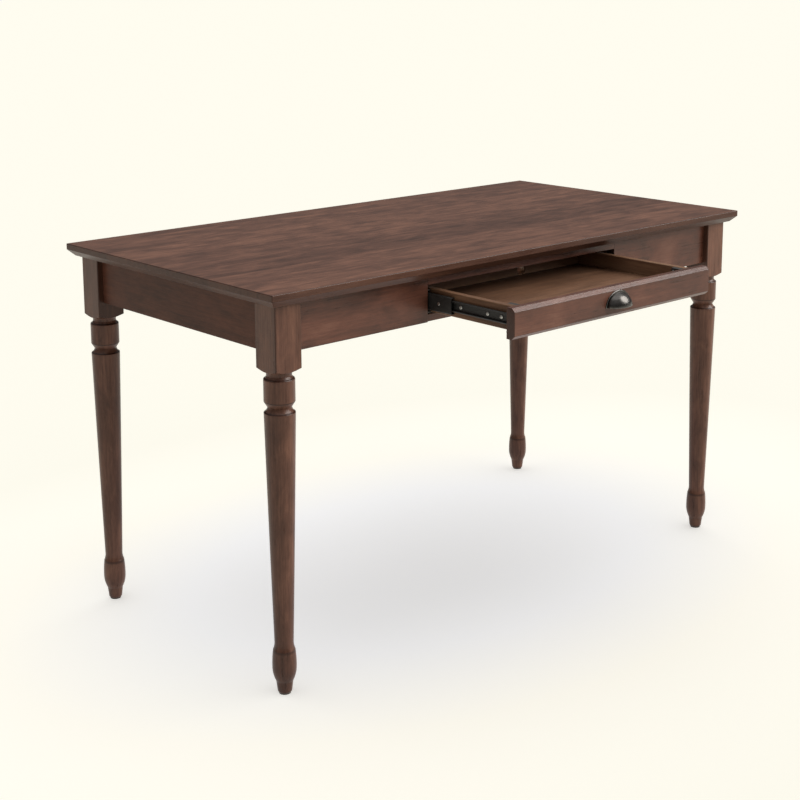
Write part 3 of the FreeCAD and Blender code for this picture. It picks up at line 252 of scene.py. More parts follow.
def make_piece(name: str, skins: list[Skin], grain: Grain, crease: float = 34.0, even: bool = True,
               tone: float = 0.0, tone_rise: Triple = (0.0, 0.0, 0.0)) -> bpy.types.Object:
    """Make one object from its skins, with the attributes that its finish reads.

    The grain attribute holds a point's place along, across and through the board, moved by an amount drawn
    from the piece's name, so that no two boards have the same figure.

    Args:
        name: name of the piece.
        skins: closed surfaces that make it up.
        grain: axis that its grain runs along.
        crease: angle in degrees past which an edge stays sharp.
        even: whether large faces set the shading of the arrises beside them.
        tone: how much lighter, or darker below zero, the stain took on this piece; the drawer's right side
            is lightened with it as painted light.
        tone_rise: how much lighter it gets with each metre along X, Y and Z; on the drawer bottom it paints
            shade towards the back.

    Returns:
        The object, at the origin.
    """
    shells = [skin.closed() for skin in skins]
    starts = np.cumsum([0] + [len(points) for points, _, _ in shells])
    points = np.concatenate([shell[0] for shell in shells])
    wear = np.concatenate([shell[1] for shell in shells])
    faces = [(face + start).tolist() for (_, _, found), start in zip(shells, starts) for face in found]
    mesh = bpy.data.meshes.new(name)
    mesh.from_pydata(points.tolist(), [], faces)
    shift = np.random.default_rng(zlib.crc32(name.encode())).uniform(-2.0, 2.0, 3)
    places = points[:, list(grain.value)] + shift
    mesh.attributes.new("grain", "FLOAT_VECTOR", "POINT").data.foreach_set("vector", places.ravel())
    mesh.attributes.new("wear", "FLOAT", "POINT").data.foreach_set("value", wear)
    tones = tone + points @ np.array(tone_rise)
    mesh.attributes.new("tone", "FLOAT", "POINT").data.foreach_set("value", tones)
    mesh.shade_smooth()
    mesh.set_sharp_from_angle(angle=math.radians(crease))
    piece = bpy.data.objects.new(name, mesh)
    bpy.context.scene.collection.objects.link(piece)
    if even:
        shading = piece.modifiers.new("even_shading", "WEIGHTED_NORMAL")
        shading.keep_sharp = True
    return piece


def end_rows(outline: Outline, station: float, inward: float, end_round: float) -> list[Row]:
    """Rows of one end of a carried outline, from its face inwards.

    The outline's rounding shrinks with the cosine of an angle while its place moves on by the rounding
    times the sine, so that the arris is part of a ball or a pipe.

    Args:
        outline: outline at this end.
        station: place of the end along the axis.
        inward: sign of the way in from the end.
        end_round: rounding of the end, or none.

    Returns:
        The rows: place along the axis, points of the outline, and wear.
    """
    if end_round == 0.0:
        return [(station, outline.columns(), 0.0)]
    rows = [(station, outline.inset(end_round + outline.margin), 1.0)]
    for angle, wear in zip(QUARTER[::-1], (0.5, 1.0, 1.0, 0.5)):
        depth = end_round * (1.0 - math.sin(angle))
        rows.append((station + inward * depth, outline.columns(math.cos(angle)), wear))
    rows.append((station + inward * (end_round + outline.margin), outline.columns(), 0.0))
    return rows


def carried(outlines: list[Outline], stations: list[float], grain: Grain, end_round: float) -> Skin:
    """Carry an outline along an axis, with its two ends rounded.

    Where one outline follows another, both stand at the same station and a flat wall joins them.

    Args:
        outlines: one for each stretch, all with the same number of corners.
        stations: places along the axis, one more than the outlines.
        grain: axis of travel; the outline lies in the two others, in the grain's order.
        end_round: rounding of the two ends, or none.

    Returns:
        The closed surface.
    """
    rows = end_rows(outlines[0], stations[0], 1.0, end_round)
    for before, after, station in zip(outlines[:-1], outlines[1:], stations[1:-1]):
        rows += [(station, before.columns(), 0.0), (station, after.columns(), 0.0)]
    rows += end_rows(outlines[-1], stations[-1], -1.0, end_round)[::-1]
    flat = np.stack([points for _, points, _ in rows])
    along, across, through = grain.value
    points = np.empty((*flat.shape[:2], 3))
    points[..., along] = np.array([place for place, _, _ in rows])[:, None]
    points[..., across] = flat[..., 0]
    points[..., through] = flat[..., 1]
    ends = np.array([wear for _, _, wear in rows])[:, None]
    side = np.broadcast_to(outlines[0].wear(), flat.shape[:2])
    return Skin(points, np.where(np.abs(side) > ends, side, ends))


def board(low: Array, high: Array, grain: Grain, rounding: float, end_round: float | None = None) -> Skin:
    """Board between two corners, with softened arrises.

    Args:
        low: lowest corner.
        high: highest corner.
        grain: axis that the board runs along.
        rounding: radius of its long arrises.
        end_round: radius of the arrises round its ends, the same where not given.

    Returns:
        The closed surface.
    """
    along, across, through = grain.value
    corners = [(low[across], low[through]), (high[across], low[through]),
               (high[across], high[through]), (low[across], high[through])]
    thin = min(high[across] - low[across], high[through] - low[through])
    outline = Outline(np.array(corners), rounding, margin=min(BOARD_MARGIN, 0.2 * thin))
    ends = rounding if end_round is None else end_round
    return carried([outline], [low[along], high[along]], grain, ends)


def square_to(axis: Array) -> tuple[Array, Array]:
    """Two unit directions square to an axis and to each other.

    Args:
        axis: unit direction.

    Returns:
        The two directions.
    """
    first = np.cross(axis, np.eye(3)[np.argmin(np.abs(axis))])
    first = first / np.linalg.norm(first)
    return first, np.cross(axis, first)


def turned(profile: Array, foot: Array, axis: Array, columns: int) -> Skin:
    """Turn a profile about an axis.

    A point lies at the foot plus height along the axis plus radius along a direction that goes once round
    it with the column.

    Args:
        profile: pairs of radius and height along the axis.
        foot: point on the axis at height zero.
        axis: unit direction of the axis.
        columns: points round the axis.

    Returns:
        The closed surface, without wear.
    """
    first, second = square_to(axis)
    angle = np.linspace(0.0, 2.0 * np.pi, columns, endpoint=False)[:, None]
    spokes = np.cos(angle) * first + np.sin(angle) * second
    points = foot + profile[:, 1, None, None] * axis + profile[:, 0, None, None] * spokes
    return Skin(points, np.zeros(points.shape[:2]))


def corner_of(node: str) -> tuple[Array, Array]:
    """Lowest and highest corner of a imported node, as arrays."""
    low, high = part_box(node)
    return np.array(low), np.array(high)


def settle(piece: bpy.types.Object, finish: bpy.types.Material, slot: Slot, body: Body, *nodes: str) -> None:
    """Give a new piece its finish, the body it rides on and the nodes it stands for.

    Args:
        piece: the new piece.
        finish: its material.
        slot: slot of the record that its finish belongs to; not used.
        body: body that it moves with.
        nodes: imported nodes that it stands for.
    """
    piece.data.materials.append(finish)
    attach(piece, body.value)
    if nodes:
        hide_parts(*nodes)
    LOG.info("%s: %d faces, rides on %s", piece.name, len(piece.data.polygons), body.value)


# Finishes


@dataclass(frozen=True)
class Amount:
    """A number that varies over a surface: a socket that takes part in Python's arithmetic."""

    bench: Bench
    socket: bpy.types.NodeSocket

    def __add__(self, other: Amount | float) -> Amount:
        """Sum."""
        return self.bench.maths("ADD", self, other)

    def __radd__(self, other: float) -> Amount:
        """Sum with a number on the left."""
        return self.bench.maths("ADD", other, self)

    def __sub__(self, other: Amount | float) -> Amount:
        """Difference."""
        return self.bench.maths("SUBTRACT", self, other)

    def __rsub__(self, other: float) -> Amount:
        """Difference from a number on the left."""
        return self.bench.maths("SUBTRACT", other, self)

    def __mul__(self, other: Amount | float) -> Amount:
        """Product."""
        return self.bench.maths("MULTIPLY", self, other)

    def __rmul__(self, other: float) -> Amount:
        """Product with a number on the left."""
        return self.bench.maths("MULTIPLY", other, self)

    def __truediv__(self, other: Amount | float) -> Amount:
        """Quotient."""
        return self.bench.maths("DIVIDE", self, other)

    def __rtruediv__(self, other: float) -> Amount:
        """Quotient of a number on the left."""
        return self.bench.maths("DIVIDE", other, self)

    def above(self, level: float, span: float) -> Amount:
        """Rise from 0 at a level to 1 a span above it, and no further."""
        return self.bench.maths("ADD", (self - level) / span, 0.0, clamp=True)


class Bench:
    """Node tree of one material or world, and the means to add to it."""

    def __init__(self, owner: bpy.types.Material | bpy.types.World) -> None:
        """Start with an empty tree.

        Args:
            owner: material or world that the tree belongs to.
        """
        owner.use_nodes = True
        self.owner = owner
        self.tree = owner.node_tree
        self.tree.nodes.clear()

    @classmethod
    def material(cls, name: str) -> Bench:
        """Bench of a new material."""
        return cls(bpy.data.materials.new(name))

    def attribute(self, name: str) -> Amount:
        """Number that the piece holds at each point."""
        return Amount(self, self.add("Attribute", {"attribute_name": name}).outputs["Fac"])

    def rubbed(self) -> Amount:
        """Rubbing of the arrises, from 0 to 1, out of the piece's wear."""
        return self.attribute("wear").above(RUB_LEVEL, RUB_SPAN)

    def add(self, kind: str, settings: dict[str, object] | None = None,
            inputs: dict[str | int, object] | None = None) -> bpy.types.Node:
        """Add a node.

        Args:
            kind: type of the node, without the words that start every shader node's.
            settings: its settings, which are set first; stops are the places and colours of a ramp.
            inputs: values or links of its sockets, by name or number.

        Returns:
            The node.
        """
        node = self.tree.nodes.new("ShaderNode" + kind)
        for name, value in (settings or {}).items():
            if name == "stops":
                for _ in range(len(value) - 2):
                    node.color_ramp.elements.new(0.5)
                for element, (position, colour) in zip(node.color_ramp.elements, value):
                    element.position = position
                    element.color = opaque(colour)
            else:
                setattr(node, name, value)
        for name, value in (inputs or {}).items():
            link = value.socket if isinstance(value, Amount) else value
            if isinstance(link, bpy.types.NodeSocket):
                self.tree.links.new(link, node.inputs[name])
            else:
                node.inputs[name].default_value = value
        return node

    def maths(self, operation: str, first: Amount | float, second: Amount | float = 0.0,
              clamp: bool = False) -> Amount:
        """Work out two numbers with a Math node.

        Args:
            operation: the node's operation.
            first: its first number.
            second: its second number.
            clamp: whether the result is held between 0 and 1.

        Returns:
            The result.
        """
        node = self.add("Math", {"operation": operation, "use_clamp": clamp}, {0: first, 1: second})
        return Amount(self, node.outputs[0])

    def vector(self, *parts: Amount | float) -> bpy.types.NodeSocket:
        """Join three numbers into a vector."""
        return self.add("CombineXYZ", inputs=dict(enumerate(parts))).outputs[0]

    def split(self, vector: bpy.types.NodeSocket) -> tuple[Amount, Amount, Amount]:
        """Take a vector apart into three numbers."""
        node = self.add("SeparateXYZ", inputs={0: vector})
        return tuple(Amount(self, socket) for socket in node.outputs)

    def noise(self, vector: bpy.types.NodeSocket, scale: float = 1.0, detail: float = 2.0,
              roughness: float = 0.5, distortion: float = 0.0) -> Amount:
        """Noise about one half.

        Args:
            vector: place that it is read at.
            scale: how fine it is.
            detail: octaves of finer noise.
            roughness: strength of the finer octaves.
            distortion: how far it swirls.

        Returns:
            The noise.
        """
        node = self.add("TexNoise", None, {"Vector": vector, "Scale": scale, "Detail": detail,
                                           "Roughness": roughness, "Distortion": distortion})
        return Amount(self, node.outputs["Fac"])

    def grained(self, place: tuple[Amount, Amount, Amount], scale: Pair, detail: float = 2.0,
                roughness: float = 0.5, distortion: float = 0.0) -> Amount:
        """Noise that is stretched along the grain.

        Args:
            place: place along, across and through the grain.
            scale: patches to the metre along and across the grain.
            detail: octaves of finer noise.
            roughness: strength of the finer octaves.
            distortion: how far it swirls.

        Returns:
            The noise, about one half.
        """
        (along, across, through), (long, wide) = place, scale
        return self.noise(self.vector(along * long, across * wide, through * wide), detail=detail,
                          roughness=roughness, distortion=distortion)

    def blend(self, factor: Amount | float, first: object, second: object) -> bpy.types.NodeSocket:
        """Mix two colours.

        Args:
            factor: share of the second.
            first: first colour or socket.
            second: second colour or socket.

        Returns:
            The mixed colour.
        """
        node = self.add("Mix", {"data_type": "RGBA", "clamp_factor": True}, {0: factor, 6: first, 7: second})
        return node.outputs[2]

    def ramp(self, factor: Amount, places: Triple, colours: tuple[Colour, ...]) -> bpy.types.NodeSocket:
        """Colour that runs through the given ones as a number passes their places."""
        stops = tuple(zip(places, colours))
        return self.add("ValToRGB", {"stops": stops}, {"Fac": factor}).outputs["Color"]

    def finish(self, inputs: dict[str, object], bump: Amount | None = None,
               height: float = 0.0) -> bpy.types.Material:
        """Add the surface shader and the output.

        Args:
            inputs: values or links of the shader's sockets.
            bump: relief of the surface, from 0 to 1.
            height: depth of that relief in metres.

        Returns:
            The finished material.
        """
        if bump is not None:
            relief = self.add("Bump", None, {"Strength": 1.0, "Distance": height, "Height": bump})
            inputs = {**inputs, "Normal": relief.outputs[0]}
        shader = self.add("BsdfPrincipled", None, inputs)
        self.add("OutputMaterial", None, {"Surface": shader.outputs[0]})
        return self.owner


@dataclass(frozen=True)
class WoodFinish:
    """Stained and lacquered wood. A scale is in patches to the metre, along and across the grain.

    Attributes:
        name: name of the material.
        dark: stain in the pores and the darkest streaks.
        body: stain over most of the wood.
        light: stain on the palest streaks.
        roughness: roughness of the lacquer.
        specular: strength of its reflection.
        clouds: strength of the soft patches where the stain took more or less.
        cloud_scale: scale of those patches.
        streaks: strength of the streaks along the grain.
        edges: how far the arrises are lighter, or darker below zero.
        stave_width: width of the glued-up staves of a wide board, or none.
        stave_tone: how far the staves differ in tone.
        stave_shift: how far the figure moves from stave to stave, along and through the board.
        tones: tones at which the stain is dark, body and light.
        drift_scale: scale of the slow drift that bends the streaks.
        drift_share: strength of the drift in the tone, as a share of the clouds.
        streak_scale: scale of the streaks.
        streak_bend: how far the drift bends the streaks, in metres.
        fibre_scale: scale of the fibres.
        fibres: strength of the fibres.
        pore_scale: scale of the pores.
        pore_level: noise at which a pore starts, and the rise to its middle.
        pores: how dark the pores are.
        edge_base: least share of the change on the arrises.
        glaze_level: depth of wear at which the painted shade in the crevices starts, and the span to its
            full strength.
        glaze: how dark the painted shade in the crevices is.
        gloss_shares: change of roughness with streaks, clouds and pores.
        relief_shares: shares of fibres, streaks and pores in the relief.
        relief: depth of the relief in metres.
    """

    name: str
    dark: Colour
    body: Colour
    light: Colour
    roughness: float
    specular: float
    clouds: float
    cloud_scale: Pair
    streaks: float
    edges: float
    stave_width: float = 0.0
    stave_tone: float = 0.14
    stave_shift: Pair = (5.0, 3.0)
    tones: Triple = (0.12, 0.5, 0.88)
    drift_scale: Pair = (2.2, 9.0)
    drift_share: float = 0.4
    streak_scale: Pair = (8.0, 190.0)
    streak_bend: float = 4.0 / 190.0
    fibre_scale: Pair = (45.0, 1300.0)
    fibres: float = 0.3
    pore_scale: Pair = (80.0, 1500.0)
    pore_level: Pair = (0.60, 0.10)
    pores: float = 0.15
    edge_base: float = 0.25
    glaze_level: Pair = (0.02, 0.75)
    glaze: float = 0.9
    gloss_shares: Triple = (0.14, 0.10, 0.08)
    relief_shares: Triple = (0.4, 0.3, 0.3)
    relief: float = 0.1 * MM

    def places(self, bench: Bench, source: Grain | None) -> tuple[Amount, Amount, Amount]:
        """Place along, across and through the grain.

        Args:
            bench: node tree to add to.
            source: axis of the grain in object coordinates, or none to read the piece's own attribute.

        Returns:
            The three numbers.
        """
        if source is None:
            return bench.split(bench.add("Attribute", {"attribute_name": "grain"}).outputs["Vector"])
        parts = bench.split(bench.add("TexCoord").outputs["Object"])
        return tuple(parts[number] for number in source.value)

    def glazed(self, bench: Bench, colour: bpy.types.NodeSocket, patch: Amount) -> bpy.types.NodeSocket:
        """Darken the crevices with painted shade and change the arrises.

        Args:
            bench: node tree to add to.
            colour: colour of the plain surface.
            patch: noise that breaks the change up.

        Returns:
            The colour with both.
        """
        rubbed = bench.rubbed() * (patch + self.edge_base) * abs(self.edges)
        colour = bench.blend(rubbed, colour, opaque(self.light if self.edges > 0.0 else self.dark))
        # Painted shade: crevices, where the wear is below zero, are blended towards the dark stain.
        crevice = (0.0 - bench.attribute("wear")).above(*self.glaze_level)
        return bench.blend(crevice * self.glaze, colour, opaque(self.dark))

    def material(self, source: Grain | None = None) -> bpy.types.Material:
        """Make the material.

        Clouds, streaks, fibres and pores are noises stretched along the grain. They add up to a tone that a
        ramp turns to colour.

        Args:
            source: axis of the grain in object coordinates, or none to read the piece's own attribute.

        Returns:
            The material.
        """
        bench = Bench.material(self.name if source is None else f"{self.name}_{source.name.lower()}")
        along, across, through = self.places(bench, source)
        tone = 0.5 + bench.attribute("tone") if source is None else 0.5
        if self.stave_width:
            stave = bench.maths("FLOOR", across / self.stave_width)
            pick = bench.add("TexWhiteNoise", {"noise_dimensions": "1D"}, {"W": stave})
            chance = Amount(bench, pick.outputs["Value"])
            tone = tone + (chance - 0.5) * self.stave_tone
            along = along + chance * self.stave_shift[0]
            through = through + chance * self.stave_shift[1]
        place = (along, across, through)
        drift = bench.grained(place, self.drift_scale)
        cloud = bench.grained(place, self.cloud_scale, detail=4.0, roughness=0.6, distortion=0.5)
        bent = (along, across + drift * self.streak_bend, through)
        streak = bench.grained(bent, self.streak_scale, detail=4.0, roughness=0.65)
        fibre = bench.grained(place, self.fibre_scale)
        pores = bench.grained(place, self.pore_scale, detail=1.0).above(*self.pore_level)
        tone = tone + (cloud - 0.5) * self.clouds + (drift - 0.5) * (self.drift_share * self.clouds)
        tone = tone + (streak - 0.5) * self.streaks + (fibre - 0.5) * self.fibres
        colour = bench.ramp(tone, self.tones, (self.dark, self.body, self.light))
        colour = bench.blend(pores * self.pores, colour, opaque(self.dark))
        # Painted shade in the crevices, and the change on the arrises.
        if source is None:
            colour = self.glazed(bench, colour, cloud)
        streaky, cloudy, porous = self.gloss_shares
        rough = self.roughness + (streak - 0.5) * streaky + (cloud - 0.5) * cloudy + pores * porous
        fibrous, streaky, porous = self.relief_shares
        relief = fibre * fibrous + streak * streaky + (1.0 - pores) * porous
        return bench.finish({"Base Color": colour, "Roughness": rough, "Specular IOR Level": self.specular},
                            relief, self.relief)


@dataclass(frozen=True)
class HardFinish:
    """Metal, plastic or rubber with a fine mottle.

    Attributes:
        name: name of the material.
        colour: main colour.
        worn: colour of rubbed or lighter places.
        roughness: mean roughness.
        mottle: size of the mottle in metres.
        spread: change of roughness over the mottle.
        height: depth of the fine relief in metres.
        metallic: 1 for bare metal, 0 for paint and plastic.
        worn_edges: whether the piece has the wear attribute.
        finer: how many times finer the relief is than the mottle.
        worn_level: noise at which a lighter place starts, and the rise to its middle.
        worn_share: share of the worn colour in a lighter place.
        edge_share: share of the worn colour on the arrises.
    """

    name: str
    colour: Colour
    worn: Colour
    roughness: float
    mottle: float
    spread: float
    height: float
    metallic: float = 0.0
    worn_edges: bool = False
    finer: float = 12.0
    worn_level: Pair = (0.42, 0.4)
    worn_share: float = 0.5
    edge_share: float = 0.7

    def material(self) -> bpy.types.Material:
        """Make the material from a coarse and a fine noise on object coordinates.

        Returns:
            The material.
        """
        bench = Bench.material(self.name)
        place = bench.add("TexCoord").outputs["Object"]
        coarse = bench.noise(place, scale=1.0 / self.mottle, detail=3.0)
        fine = bench.noise(place, scale=self.finer / self.mottle, detail=2.0)
        share = coarse.above(*self.worn_level) * self.worn_share
        if self.worn_edges:
            share = bench.maths("ADD", share, bench.rubbed() * self.edge_share, clamp=True)
        colour = bench.blend(share, opaque(self.colour), opaque(self.worn))
        rough = self.roughness + (coarse - 0.5) * self.spread + (fine - 0.5) * (0.5 * self.spread)
        return bench.finish({"Base Color": colour, "Roughness": rough, "Metallic": self.metallic},
                            fine, self.height)


class Finishes:
    """Every material of the desk, made once."""

    def __init__(self) -> None:
        """Make the woods, metals, plastic and rubber."""
        stain = {"dark": (0.026, 0.0095, 0.0055), "light": (0.190, 0.088, 0.056)}
        brown = {"body": (0.093, 0.0412, 0.0268), **stain}
        self.walnut = WoodFinish(
            "stained_walnut", body=(0.103, 0.0368, 0.0218), roughness=0.30, specular=0.36, clouds=0.85,
            cloud_scale=(9.0, 18.0), streaks=0.42, edges=-1.0, **stain).material()
        self.leg = WoodFinish(
            "stained_walnut_leg", roughness=0.30, specular=0.24, clouds=0.7, cloud_scale=(14.0, 34.0),
            streaks=0.6, edges=-1.0, **brown).material()
        self.apron = WoodFinish(
            "stained_walnut_apron", body=(0.101, 0.0392, 0.0243), roughness=0.42, specular=0.12, clouds=0.58,
            cloud_scale=(9.0, 20.0), streaks=0.36, edges=-0.7, **stain).material()
        self.top = WoodFinish(
            "stained_walnut_top", roughness=0.33, specular=0.20, clouds=0.9, cloud_scale=(13.0, 40.0),
            streaks=0.75, edges=-1.0, stave_width=0.114, **brown).material()
        drawer_wood = WoodFinish(
            "drawer_wood", dark=(0.055, 0.026, 0.013), body=(0.140, 0.070, 0.038),
            light=(0.250, 0.140, 0.080), roughness=0.50, specular=0.25, clouds=0.62,
            cloud_scale=(8.0, 26.0), streaks=0.8, edges=0.6)
        self.drawer_wood = drawer_wood.material()
        self.frame_wood = {grain: drawer_wood.material(grain) for grain in Grain}
        self.black_steel = HardFinish(
            "black_steel", (0.009, 0.0085, 0.008), (0.026, 0.024, 0.022), roughness=0.50, mottle=12 * MM,
            spread=0.16, height=0.04 * MM, worn_edges=True).material()
        self.zinc = HardFinish(
            "zinc_steel", (0.50, 0.49, 0.47), (0.66, 0.65, 0.62), roughness=0.34, mottle=6 * MM,
            spread=0.14, height=0.03 * MM, metallic=1.0).material()
        self.pewter = HardFinish(
            "dark_pewter", (0.066, 0.062, 0.058), (0.15, 0.142, 0.135), roughness=0.26, mottle=12 * MM,
            spread=0.06, height=0.01 * MM, metallic=1.0, worn_edges=True).material()
        self.catch = HardFinish(
            "catch_plastic", (0.022, 0.021, 0.020), (0.045, 0.043, 0.041), roughness=0.48, mottle=10 * MM,
            spread=0.12, height=0.06 * MM).material()
        self.glide = HardFinish(
            "glide_nylon", (0.055, 0.042, 0.033), (0.085, 0.068, 0.054), roughness=0.55, mottle=12 * MM,
            spread=0.12, height=0.05 * MM).material()
        self.rubber = HardFinish(
            "pad_rubber", (0.040, 0.039, 0.038), (0.07, 0.068, 0.066), roughness=0.75, mottle=6 * MM,
            spread=0.10, height=0.08 * MM).material()


# The desk's sub-assemblies


@dataclass
class DeskTop:
    """Solid top: upright edge with a rounded upper arris, and a wide chamfer underneath."""

    edge: float = 12 * MM
    upper_round: float = 1.5 * MM
    lower_round: float = 0.9 * MM
    corner_round: float = 1.4 * MM
    corner_margin: float = 2 * MM
    corner_steps: int = 5
    flat: float = 60 * MM
    edge_wear: float = 0.75
    wear_start: float = 1.8 * MM
    tone: float = 0.015

    def skin(self) -> Skin:
        """Carry the edge's profile round the rectangle of the top.

        At a depth in from the edge, the ring is a rectangle made smaller by that depth. Its corners are arcs
        of the corner's rounding less the depth, and mitres where the depth is more. The arcs' normals are
        the points of a square that is rounded to a circle of radius 1.

        Returns:
            The closed surface.
        """
        low, high = corner_of("top_panel")
        top, half = high[2], (high - low)[:2] / 2.0
        chamfer = top - low[2] - self.edge
        profile = Outline([(self.flat, top), (0.0, top), (0.0, top - self.edge), (chamfer, low[2]),
                           (self.flat, low[2])],
                          [0.0, self.upper_round, self.lower_round, self.lower_round, 0.0])
        depth, level = profile.columns().T
        ring = Outline([(-1.0, -1.0), (1.0, -1.0), (1.0, 1.0), (-1.0, 1.0)], 1.0, margin=0.0,
                       steps=self.corner_steps)
        normal = ring.columns()
        signs = np.repeat(ring.corners, ring.steps + 2, axis=0)
        slide = np.zeros((len(ring.corners), ring.steps + 2, 2))
        slide[:, 0] = -self.corner_margin * ring.directions[:, 0]
        slide[:, -1] = self.corner_margin * ring.directions[:, 1]
        core = half - np.maximum(depth, self.corner_round)[:, None, None]
        arc = np.maximum(self.corner_round - depth, 0.0)[:, None, None] * normal
        flat = signs * core + arc + slide.reshape(-1, 2)
        rise = np.broadcast_to(level[:, None, None], (*flat.shape[:2], 1))
        stained = (level < top - self.wear_start) & (depth < chamfer)
        wear = np.maximum(profile.wear(), np.where(stained, self.edge_wear, 0.0))
        return Skin(np.concatenate([flat, rise], axis=2), np.repeat(wear[:, None], len(signs), axis=1))

    def build(self, finishes: Finishes) -> None:
        """Make and finish the top.

        Args:
            finishes: materials of the desk.
        """
        piece = make_piece("top", [self.skin()], Grain.ALONG_X, tone=self.tone)
        settle(piece, finishes.top, Slot.WALNUT, Body.DESK, "top_panel")


@dataclass
class TurnedLegs:
    """Four turned legs: bulb foot, long taper, two rings and a square block. Heights are from the floor.

    The foot is the radius and height in millimetres where the profile starts. The lines of painted shade lie
    on the bulb, the collar and the ring's two arrises. Each is a height and a half width in millimetres and
    a strength. The slack is how near to a flat face a point counts as on it.
    """

    foot: Pair = (10.5, 3.0)
    block_bottom: float = 612.5 * MM
    block_top: float = 737 * MM
    block_half: float = 29 * MM
    arris: float = 1.6 * MM
    shoulder: float = 6 * MM
    shoulder_reach: float = 1.07
    shoulder_rows: int = 14
    rows_up: Pair = (9 * MM, 14 * MM)
    rows_down: Pair = (8 * MM, 0.0)
    # Painted shade on the block's faces that meet the aprons, in the grooves and along the lines below.
    inner_glaze: float = 0.55
    throat_glaze: float = 0.4
    glaze_lines: tuple[Triple, ...] = ((84.5, 3.0, 0.6), (537.0, 2.2, 0.8),
                                       (556.3, 1.6, 0.8), (598.5, 2.6, 0.8))
    glaze_edge: float = 1.5
    wear_step: float = 0.5 * MM
    wear_window: int = 21
    wear_depth: float = 1.6 * MM
    rub_reach: float = 1.4
    rub_fall: float = 0.5
    shoulder_rub: float = 0.3
    slack: float = 0.1 * MM
    cut_slack: float = 0.01 * MM

    def stretches(self) -> list[tuple[float, float, float, int]]:
        """Stretches of the turned profile, from the foot up, in millimetres.

        Returns:
            Radius and height where each stretch ends, its bulge, and its number of points.
        """
        bottom = self.block_bottom / MM
        return [
            (13.5, 6.0, 0.88, 5),
            (15.9, 25.0, 0.0, 5),
            (22.5, 52.0, 1.7, 12),
            (20.6, 86.0, 0.65, 12),
            (17.7, 100.5, -0.8, 9),
            (28.7, 535.5, 0.3, 26),
            (26.7, 537.5, 0.59, 4),
            (22.0, bottom - 66.5, -0.9, 8),
            (28.1, bottom - 56.7, 0.0, 7),
            (28.5, bottom - 55.4, 0.15, 4),
            (28.5, bottom - 16.0, 0.0, 9),
            (25.5, bottom - 13.0, 0.88, 5),
            (23.2, bottom - 9.0, 0.0, 6),
            (25.5, bottom, -1.0, 8),
        ]

    def profile(self) -> Array:
        """Turned profile as pairs of radius and height.

        A stretch runs straight from end to end and stands out to its right by four times the bulge times
        t (1 - t). Its points crowd towards both ends.

        Returns:
            Pairs in metres, from the foot up.
        """
        rows, start = [], np.array(self.foot)
        for radius, height, bulge, count in self.stretches():
            end = np.array([radius, height])
            chord = end - start
            right = np.array([chord[1], -chord[0]]) / np.hypot(*chord)
            run = (1.0 - np.cos(np.linspace(0.0, np.pi, count)))[:, None] / 2.0
            rows.append(start + run * chord + 4.0 * bulge * run * (1.0 - run) * right)
            start = end
        return np.concatenate(rows) * MM

    def crevices(self, profile: Array) -> Array:
        """Wear of each profile point: its radius against the mean radius about its height, and the lines of
        painted shade.

        Args:
            profile: pairs of radius and height.

        Returns:
            Wear from -1 in a groove, where shade is painted, to 1 on a ring's arris.
        """
        radius, height = profile.T
        fine = np.arange(height[0], height[-1], self.wear_step)
        padded = np.pad(np.interp(fine, height, radius), self.wear_window // 2, mode="edge")
        mean = np.convolve(padded, np.ones(self.wear_window) / self.wear_window, mode="valid")
        wear = np.clip((radius - np.interp(height, fine, mean)) / self.wear_depth, -1.0, 1.0)
        # Painted shade in the grooves, where the radius falls below the mean.
        wear = np.where(wear < 0.0, self.throat_glaze * wear, wear)
        # Painted shade: dark lines on the bulb, the collar and the ring's arrises.
        for level, half, strength in self.glaze_lines:
            near = np.clip(self.glaze_edge * (1.0 - np.abs(height / MM - level) / half), 0.0, 1.0)
            wear = (1.0 - near) * wear - near * strength
        return wear

    def angles(self) -> Array:
        """Angles of the columns, crowded about the block's four arrises.

        Returns:
            The angles.
        """
        half = np.radians([0.0, 0.7, 1.4, 2.4, 5.0, 9.0, 14.0, 19.0, 24.0, 29.0, 34.0, 39.5])
        quarter = np.concatenate([-half[:0:-1], half, [np.pi / 4.0]])
        return (np.arange(4)[:, None] * (np.pi / 2.0) + np.pi / 4.0 + quarter[None]).reshape(-1)

    def square(self, angle: Array) -> Array:
        """Radius of the block at an angle: to a flat face, or to the arc that rounds an arris.

        Args:
            angle: angles about the leg's axis.

        Returns:
            Radii.
        """
        turn = np.mod(angle, np.pi / 2.0) - np.pi / 4.0
        flat = self.block_half / np.cos(np.pi / 4.0 - np.abs(turn))
        reach = (self.block_half - self.arris) * math.sqrt(2.0)
        inside = np.maximum(self.arris ** 2 - (reach * np.sin(turn)) ** 2, 0.0)
        return np.minimum(flat, np.where(inside > 0.0, reach * np.cos(turn) + np.sqrt(inside), flat))

